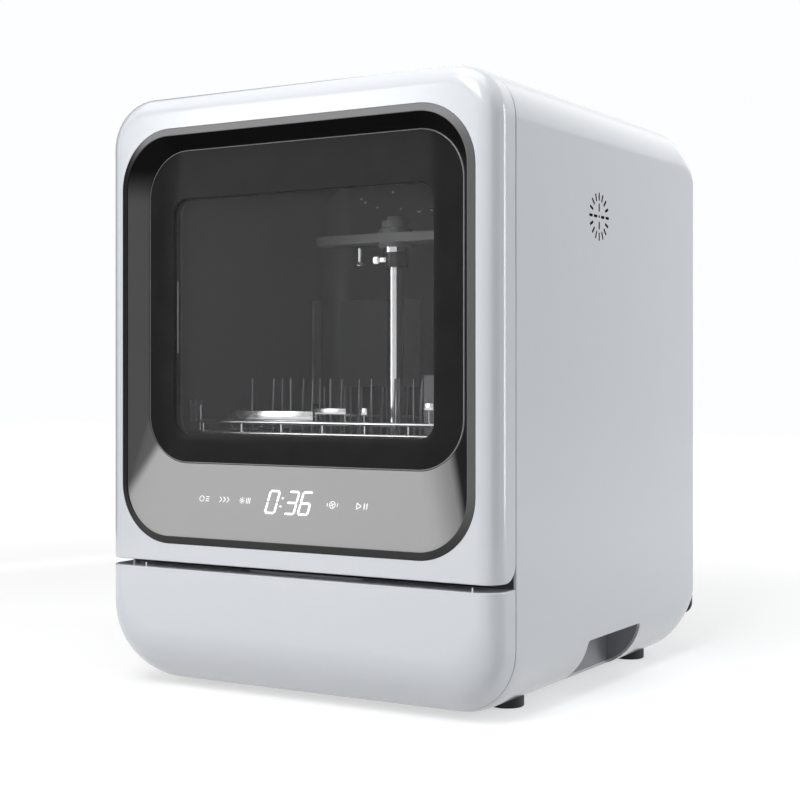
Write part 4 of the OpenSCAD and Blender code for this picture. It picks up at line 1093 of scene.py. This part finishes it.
class DISHWASHER_OT_dish_rack(bpy.types.Operator):
    """Round-wire rack with a rim, a lower rail, uprights and rows of bent tines"""

    bl_idname = "dishwasher.dish_rack"
    bl_label = "Dish Rack"

    PITCH = 22 * MM

    # left, right, foot and top of each bright plate on the front rim, in mm
    PLATES = ((-101.8, -10.4, 241.5, 250.0), (-8.5, 24.3, 247.6, 252.8), (39.8, 46.0, 247.4, 253.2),
              (103.4, 112.0, 252.2, 258.2), (-149.2, -145.0, 254.8, 259.4),
              (-143.2, -139.0, 254.8, 259.4), (-137.2, -133.4, 254.8, 259.4))

    def hoop(self, bm, low, high, z, corner, radius):
        """Wire bent into a rectangle with round corners, swept round by spin and extrude."""
        x0, x1, y0, y1 = low.x + corner, high.x - corner, low.y + corner, high.y - corner
        # start and end of each straight run, then the centre of the bend after it
        runs = (
            ((x0, low.y), (x1, low.y), (x1, y0)), ((high.x, y0), (high.x, y1), (x1, y1)),
            ((x1, high.y), (x0, high.y), (x0, y1)), ((low.x, y1), (low.x, y0), (x0, y0)))
        start = Matrix.Translation((x0, low.y, z)) @ Matrix.Rotation(math.radians(90), 4, "Y")
        end = bmesh.ops.create_circle(bm, segments=10, radius=radius, matrix=start)["verts"]
        edges = edges_of(end)
        for first, second, centre in runs:
            swept = bmesh.ops.extrude_edge_only(bm, edges=edges)["geom"]
            verts = [g for g in swept if isinstance(g, bmesh.types.BMVert)]
            bmesh.ops.translate(bm, verts=verts,
                                vec=(second[0] - first[0], second[1] - first[1], 0))
            edges = [g for g in swept if isinstance(g, bmesh.types.BMEdge)
                     and all(v in verts for v in g.verts)]
            turned = bmesh.ops.spin(
                bm, geom=verts + edges, cent=(*centre, z), axis=(0, 0, 1), dvec=(0, 0, 0),
                angle=math.radians(90), steps=8, use_merge=False, use_normal_flip=False,
                use_duplicate=False)["geom_last"]
            edges = [g for g in turned if isinstance(g, bmesh.types.BMEdge)]

    def row_places(self):
        """Y of the ten cross wires."""
        pitch = (RIM_HIGH.y - RIM_LOW.y) / 11
        return [RIM_LOW.y + (i + 1) * pitch for i in range(10)]

    def wire_runs(self, start, end, aside, riser):
        """The stretches of a floor wire: two where it would pass through the riser tube.

        It passes the tube's axis at the distance aside, at the place riser along the wire.
        """
        keep = 19 * MM
        if abs(aside) < keep:
            return (start, riser - keep), (riser + keep, end)
        return ((start, end),)

    def wires(self, bm):
        """Three hoops, the floor wires and the uprights between them."""
        r = sizes().wire_radius
        thin = 0.8 * r
        low = Vector((RIM_LOW.x + r, RIM_LOW.y + r, 0))
        high = Vector((RIM_HIGH.x - r, RIM_HIGH.y - r, 0))
        floor = FLOOR_LOW.z + 1.7 * MM + r
        rim = (RIM_LOW.z + RIM_HIGH.z) / 2
        for z, radius in ((floor, r), (rim - 10 * MM, r), (rim, 1.25 * r)):
            self.hoop(bm, low, high, z, 22 * MM, radius)
        for i in range(-6, 7):
            x = i * self.PITCH
            for a, b in self.wire_runs(low.y, high.y, x, SPIN_Y):
                add_rod(bm, (x, a, floor + r), (x, b, floor + r), thin, 8)
        rows = self.row_places()
        for y in rows:
            for a, b in self.wire_runs(low.x, high.x, y - SPIN_Y, 0):
                add_rod(bm, (a, y, floor), (b, y, floor), thin, 8)
        posts = [(i * 2 * self.PITCH, y) for i in range(-3, 4) for y in (low.y, high.y)]
        posts += [(x, y) for y in rows[:9:2] for x in (low.x, high.x)]
        for post in posts:
            add_rod(bm, (*post, floor), (*post, rim), thin, 8)

    def tine(self, bm, x, y, base, top, lean):
        """A tine that leans a little and bends over at its tip."""
        r = sizes().tine_radius
        knee = Vector((x + lean * 0.6, y, base + (top - base) * 0.62))
        tip = Vector((x + lean, y + 1.2 * MM, top - 2 * MM))
        add_rod(bm, (x, y, base), knee, r, 8)
        add_ball(bm, knee, r, 8)
        add_rod(bm, knee, tip, r, 8, 0.9 * r)
        add_ball(bm, tip, 0.98 * r, 8)

    def tines(self, bm):
        """Two tall rows in front, which leave room for the basket, and two lower ones behind."""
        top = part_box("rack_tines")[1].z
        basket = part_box("cutlery_basket")[0].x - 10 * MM
        base = FLOOR_LOW.z + 3 * MM
        rows = self.row_places()
        for row, drop in ((1, 0), (3, 0), (6, 8 * MM), (8, 8 * MM)):
            for i in range(-5, 6):
                x = i * self.PITCH
                if drop == 0 and (i == 0 or x > basket):
                    continue
                lean = -1.5 * MM if i % 2 else 1.5 * MM
                self.tine(bm, x, rows[row], base, top - drop, lean)

    def plates(self, bm):
        """Small bright plates that stand on the front rim: a long one, a raised one and clips."""
        rim = (RIM_LOW.z + RIM_HIGH.z) / 2
        y = RIM_LOW.y + 2.2 * MM
        thick = 0.7 * MM
        for x0, x1, z0, z1 in self.PLATES:
            add_box(bm, (x0 * MM, y - thick, z0 * MM), (x1 * MM, y + thick, z1 * MM), 0.3 * MM, 2)
            for x in (x0 + 1.2, x1 - 1.2) if x1 - x0 > 9 else ((x0 + x1) / 2,):
                add_rod(bm, (x * MM, y, rim), (x * MM, y, (z0 + 1) * MM), 0.65 * MM, 8)

    def execute(self, context):
        steel = polished_steel("rack_wire", (0.86, 0.87, 0.88), 0.12)
        satin = brushed_steel("tine_steel", (0.30, 0.30, 0.31), 0.36, (1, 1, 0.05))
        for name, build, material, stands_for, sharp in (
                ("rack_wires", self.wires, steel, ["rack_floor", "rack_rim", "rack_uprights"], 60),
                ("rack_tine_rows", self.tines, satin, ["rack_tines"], 60),
                ("rack_plates", self.plates, steel, (), 32)):
            bm = bmesh.new()
            build(bm)
            clean(bm)
            finish_piece(name, bm, "cabinet", "chrome_parts", [material], stands_for, sharp,
                         weighted=False)
        return {"FINISHED"}


class DISHWASHER_OT_chamber_parts(bpy.types.Operator):
    """Hub and nozzle under the upper spray arm, vent plate, wall rib, studs and seal edge"""

    bl_idname = "dishwasher.chamber_parts"
    bl_label = "Chamber Parts"

    # X and Z of the studs on the back wall, in mm
    STUDS = ((-136, 472), (-131, 468), (-116, 462), (-96, 477), (-86, 458.5), (-64, 455),
             (-49, 455.5))

    def hub(self, bm):
        """Collar with two bands that hangs under the upper arm, round the riser."""
        foot = 383.8 * MM
        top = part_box("upper_spray_arm")[0].z + 0.5 * MM
        bore, chamfer, body, band = 8.3 * MM, 10.6 * MM, 11.6 * MM, 12.3 * MM
        profile = [(bore, foot), (chamfer, foot), (body, foot + 2 * MM)]
        for z in (foot + 6 * MM, foot + 12 * MM):
            profile += [(body, z), (band, z + 0.1 * MM), (band, z + 1.2 * MM), (body, z + 1.3 * MM)]
        profile += [(body, top), (bore, top)]
        add_ring(bm, 0, SPIN_Y, profile)

    def jet(self, bm):
        """Bright nozzle under the arm, and a bent tab in front of the hub."""
        x = -40 * MM
        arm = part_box("upper_spray_arm")[0].z
        add_rod(bm, (x, SPIN_Y, 390 * MM), (x, SPIN_Y, arm + 1 * MM), 2.6 * MM, 24)
        add_rod(bm, (x, SPIN_Y, 387.5 * MM), (x, SPIN_Y, 390.5 * MM), 5.6 * MM, 32, 4.2 * MM)
        add_ball(bm, (x, SPIN_Y, 387.6 * MM), 5.6 * MM, 32, (1, 1, 0.45))
        front, half = SPIN_Y - 13.2 * MM, 0.8 * MM
        add_box(bm, (-19.6 * MM, front - half, 387 * MM), (-10.4 * MM, front + half, 395.5 * MM),
                0.3 * MM, 2)
        add_box(bm, (-12.5 * MM, front, 388.5 * MM), (-3 * MM, SPIN_Y - 10 * MM, 394 * MM),
                0.3 * MM, 2)

    def vent(self, bm):
        """Plate over the vent in the back wall."""
        low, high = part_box("vent_cover")
        add_box(bm, (low.x - 12 * MM, low.y, low.z), (high.x, high.y, high.z + 3 * MM), 1.2 * MM)

    def rib(self, bm):
        """Upright rib on the left wall."""
        side = -171.6 * MM
        add_box(bm, (side - 0.5 * MM, 70 * MM, 252 * MM), (side + 2.5 * MM, 84 * MM, 362 * MM),
                1.0 * MM)

    def studs(self, bm):
        """Round studs on the back wall."""
        for x, z in self.STUDS:
            add_ball(bm, (x * MM, 111.6 * MM, z * MM), 2.4 * MM, 16, (1, 0.7, 0.8))

    def seal(self, bm):
        """Pale edge of the seal behind the window's left side."""
        x, y = -134.2 * MM, GLASS_HIGH.y + 0.8 * MM
        add_rod(bm, (x, y, 302 * MM), (x, y, 367 * MM), 0.35 * MM, 8)

    def execute(self, context):
        for name, build, body, slot, material, stands_for, weighted in (
                ("arm_hub", self.hub, "upper_arm", "arm_plastic",
                 moulded("hub_plastic", (0.06, 0.06, 0.062), 0.18, strength=0.05), (), False),
                ("arm_jet", self.jet, "upper_arm", "chrome_parts",
                 polished_steel("jet_steel", (0.92, 0.92, 0.93), 0.05), (), False),
                ("vent_plate", self.vent, "cabinet", "tub_liner",
                 moulded("vent_grey", (0.40, 0.40, 0.405), 0.42), ["vent_cover"], True),
                ("wall_rib", self.rib, "cabinet", "tub_liner",
                 moulded("rib_grey", (0.36, 0.36, 0.365), 0.4), (), True),
                ("wall_studs", self.studs, "cabinet", "chrome_parts",
                 polished_steel("stud_steel", (0.9, 0.9, 0.9), 0.08), (), False),
                ("seal_edge", self.seal, "door", "valve_white",
                 moulded("seal_pale", (0.55, 0.55, 0.55), 0.3, spread=0.02), (), False)):
            bm = bmesh.new()
            build(bm)
            clean(bm)
            finish_piece(name, bm, body, slot, [material], stands_for, weighted=weighted)
        return {"FINISHED"}


class DISHWASHER_OT_gap_pegs(bpy.types.Operator):
    """Two small pale pegs on the drawer, in the gap below the door"""

    bl_idname = "dishwasher.gap_pegs"
    bl_label = "Gap Pegs"

    def execute(self, context):
        y = DOOR_LOW.y + 2.6 * MM
        foot, top = DRAWER_HIGH.z - 0.3 * MM, DOOR_LOW.z - 3.0 * MM
        bm = bmesh.new()
        for x in (-156 * MM, 177.6 * MM):
            add_rod(bm, (x, y, foot), (x, y, top), 0.65 * MM, 12)
            add_ball(bm, (x, y, top), 0.7 * MM, 12)
        clean(bm)
        pale = moulded("peg_pale", (0.86, 0.86, 0.86), 0.35, spread=0.02)
        finish_piece("gap_pegs", bm, "drawer", "valve_white", [pale], weighted=False)
        return {"FINISHED"}


# ------------------------------------------------------------------ carried-over parts


class DISHWASHER_OT_carried_parts(bpy.types.Operator):
    """Finishes for the parts that keep their own shape"""

    bl_idname = "dishwasher.carried_parts"
    bl_label = "Carried Parts"

    # finish, its values, then the nodes that take it
    FINISHES = (
        (moulded, ("panel_grey", (0.032, 0.032, 0.034), 0.55),
         "rear_panel plug_plate hose_pocket base_tray"),
        (moulded, ("frame_grey", (0.09, 0.09, 0.093), 0.5), "support_deck front_bezel"),
        (moulded, ("cup_grey", (0.34, 0.35, 0.37), 0.4), "handhold_cups drawer_tray"),
        (rubber, ("foot_rubber",), "feet tub_gasket"),
        (brushed_steel, ("screw_steel", (0.55, 0.55, 0.55)), "panel_screws base_screws hinge_pins"),
        (brushed_steel, ("bracket_steel", (0.50, 0.51, 0.52), 0.34, (1, 0.03, 1)),
         "hinge_arms door_hinge_blocks drawer_rails drawer_runners"),
        (chamber_liner, (), "wash_tub"),
        (moulded, ("chamber_trim", (0.10, 0.10, 0.105), 0.42), "rack_rails"),
        (polished_steel, ("riser_steel", (0.93, 0.93, 0.94), 0.06), "riser_tube arm_collar"),
        (brushed_steel, ("heater_steel", (0.42, 0.41, 0.40), 0.3, (1, 1, 1)), "heater_ring"),
        (moulded, ("arm_plastic", (0.36, 0.36, 0.37), 0.34),
         "lower_spray_arm upper_spray_arm arm_post arm_cap filter_cup"),
        (moulded, ("basket_grey", (0.16, 0.16, 0.17), 0.45), "cutlery_basket"),
        (moulded, ("inner_grey", (0.09, 0.09, 0.095), 0.5),
         "sump fan_duct pump_volute tank_dock latch_housing latch_tongue"),
        (moulded, ("rotor_white", (0.55, 0.55, 0.54), 0.4), "pump_impeller"),
        (moulded, ("fan_black", (0.010, 0.010, 0.011), 0.5), "fan_housing fan_impeller cord_gland"),
        (moulded, ("window_black", (0.012, 0.012, 0.013), 0.36), "window_frame"),
        (moulded, ("motor_dark", (0.025, 0.027, 0.030), 0.45), "pump_motor drain_pump tank_pump"),
        (rubber, ("hose_rubber", (0.020, 0.020, 0.021)), "suction_hose delivery_hose drain_hose"),
        (rubber, ("fill_hose_grey", (0.32, 0.33, 0.34)), "fill_hoses"),
        (moulded, ("valve_white", (0.68, 0.68, 0.67), 0.42), "inlet_valve"),
        (felt, ("pad_felt",), "insulation_pad"),
        (circuit_board, ("board_green",), "main_board display_board"),
        (window_glass, ("inner_window", 0.05, (0.12, 0.12, 0.123)), "inner_glass"),
        (moulded, ("liner_grey", (0.20, 0.205, 0.21), 0.38), "door_liner"),
        (milky_tank, ("tank_milky",), "water_tank"),
        (moulded, ("lid_grey", (0.13, 0.135, 0.14), 0.42), "tank_lid"),
    )

    def execute(self, context):
        for finish, values, names in self.FINISHES:
            material = finish(*values)
            for name in names.split():
                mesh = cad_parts[name].data
                mesh.materials.clear()
                mesh.materials.append(material)
        return {"FINISHED"}


# ------------------------------------------------------------------ stage


class DISHWASHER_OT_stage(bpy.types.Operator):
    """Pale floor, soft lamps, white surroundings and the camera"""

    bl_idname = "dishwasher.stage"
    bl_label = "Stage"

    # place, aim, width, height, power and colour
    LAMPS = {
        "key": ((0.1, -1.35, 1.5), (0, -0.2, 0.45), 0.8, 0.8, 14, (1, 1, 1)),
        "front": ((-0.83, -1.43, 0.60), (0, -0.2, 0.3), 0.47, 0.9, 6.3, (1, 1, 1)),
        "top": ((0.2, -0.3, 1.9), (0.1, 0, 0.3), 1.2, 1.2, 10, (1, 1, 1)),
        "edge": ((1.56, 1.13, 0.45), (0.2, -0.2, 0.3), 0.32, 1.6, 11, (0.90, 0.95, 1.0)),
        "rear": ((0.55, 1.80, 1.32), (0.1, 0, 0.5), 1.4, 0.9, 1.6, (1, 1, 1)),
    }
    # place, width, height and glow of the dark cards that the paint mirrors
    CARDS = {
        "card_left": ((-0.95, 0.25, 0.7), 1.4, 1.3, 0.0),
        "card_front": ((-1.17, -0.97, 0.6), 0.58, 1.6, 0.06),
        "card_right": ((1.30, -0.54, 0.7), 0.90, 1.6, 0.0),
    }

    def sheet(self, name, matrix, material):
        """A flat square of the stage with one material."""
        bm = bmesh.new()
        bmesh.ops.create_grid(bm, x_segments=1, y_segments=1, size=0.5, matrix=matrix)
        mesh = mesh_of(name, bm)
        mesh.materials.append(material)
        made = add_object(name, mesh)
        return made

    def floor(self):
        """Pale floor that turns white towards the distance."""
        f = Finish("floor_pale")
        f.feed("Base Color", f.mix(f.grain(3.0), (0.60, 0.60, 0.60), (0.63, 0.63, 0.63)))
        reach = f.node("ShaderNodeVectorMath", {"operation": "LENGTH"}, {0: f.place}, out="Value")
        f.feed("Emission Color", f.seen() * (reach.step(0.45, 2.2) * 0.28 + 0.56))
        f.set(Roughness=0.9, Emission_Strength=1.0)
        self.sheet("floor", Matrix.Scale(12, 4), f.material)

    def world(self):
        """Near-white surroundings that look brighter than the light they give."""
        world = bpy.data.worlds.new("studio")
        bpy.context.scene.world = world
        world.use_nodes = True
        n = Nodes(world.node_tree)
        strength = n.node("ShaderNodeMapRange", {}, {
            "Value": n.seen(), "To Min": 0.27, "To Max": 1.0})
        back = n.node("ShaderNodeBackground", {}, {
            "Color": (0.985, 0.99, 1.0, 1), "Strength": strength})
        n.node("ShaderNodeOutputWorld", {}, {"Surface": back}, out=None)

    def lamp(self, name, place, aim, width, height, power, colour):
        """A rectangular soft lamp that points at its aim."""
        light = bpy.data.lights.new(name, "AREA")
        light.shape = "RECTANGLE"
        light.size, light.size_y = width, height
        light.energy = power
        light.color = colour
        lamp = add_object(name, light)
        lamp.location = place
        lamp.rotation_euler = (Vector(aim) - Vector(place)).to_track_quat("-Z", "Y").to_euler()

    def card(self, name, place, width, height, glow):
        """A dark card that shows in the paint as a shaded band; the camera doesn't see it."""
        turn = Vector((-place[0], -place[1], 0)).to_track_quat("Z", "Y").to_matrix().to_4x4()
        f = Finish(name)
        f.feed("Base Color", f.mix(f.grain(40.0), (0.010, 0.010, 0.010), (0.016, 0.016, 0.016)))
        f.set(Roughness=0.9, Specular_IOR_Level=0.0, Emission_Strength=glow)
        place = Matrix.Translation(place) @ turn @ Matrix.Diagonal((width, height, 1, 1))
        card = self.sheet(name, place, f.material)
        card.visible_camera = False
        card.visible_shadow = False

    def camera(self):
        """Long lens at the height of the door, turned to the right front edge."""
        lens = bpy.data.cameras.new("camera")
        lens.lens = 70.33
        lens.sensor_width = 36.0
        lens.shift_y = -0.0284
        lens.clip_start, lens.clip_end = 0.05, 50
        camera = add_object("camera", lens)
        camera.location = (0.7651, -1.3089, 0.2802)
        camera.rotation_euler = (math.radians(90), 0, math.radians(30.971))
        bpy.context.scene.camera = camera

    def execute(self, context):
        self.floor()
        self.world()
        for name, values in self.LAMPS.items():
            self.lamp(name, *values)
        for name, values in self.CARDS.items():
            self.card(name, *values)
        self.camera()
        context.scene.view_settings.view_transform = "Standard"
        return {"FINISHED"}


# ------------------------------------------------------------------ add-on


class DISHWASHER_PT_panel(bpy.types.Panel):
    """Sidebar panel with every step and setting"""

    bl_idname = "DISHWASHER_PT_panel"
    bl_label = "Dishwasher"
    bl_space_type = "VIEW_3D"
    bl_region_type = "UI"
    bl_category = "Dishwasher"

    def draw(self, context):
        layout = self.layout
        for step in STEPS:
            layout.operator(step.bl_idname)
        for group in (context.scene.dishwasher_sizes, context.scene.dishwasher_colours):
            box = layout.box()
            for key in group.__annotations__:
                box.prop(group, key)


# in the order in which they are made
STEPS = (
    DISHWASHER_OT_cabinet_skin, DISHWASHER_OT_door_skin, DISHWASHER_OT_trim_ring,
    DISHWASHER_OT_control_panel, DISHWASHER_OT_door_glass, DISHWASHER_OT_drawer_skin,
    DISHWASHER_OT_display, DISHWASHER_OT_gap_pegs, DISHWASHER_OT_dish_rack,
    DISHWASHER_OT_chamber_parts, DISHWASHER_OT_carried_parts, DISHWASHER_OT_stage,
)
CLASSES = (DishwasherSizes, DishwasherColours, *STEPS, DISHWASHER_PT_panel)


def register():
    for cls in CLASSES:
        bpy.utils.register_class(cls)
    bpy.types.Scene.dishwasher_sizes = bpy.props.PointerProperty(type=DishwasherSizes)
    bpy.types.Scene.dishwasher_colours = bpy.props.PointerProperty(type=DishwasherColours)


def unregister():
    del bpy.types.Scene.dishwasher_colours
    del bpy.types.Scene.dishwasher_sizes
    for cls in reversed(CLASSES):
        bpy.utils.unregister_class(cls)


def main():
    register()
    for step in STEPS:
        getattr(bpy.ops.dishwasher, step.bl_idname.split(".")[1])()


if __name__ == "__main__":
    main()
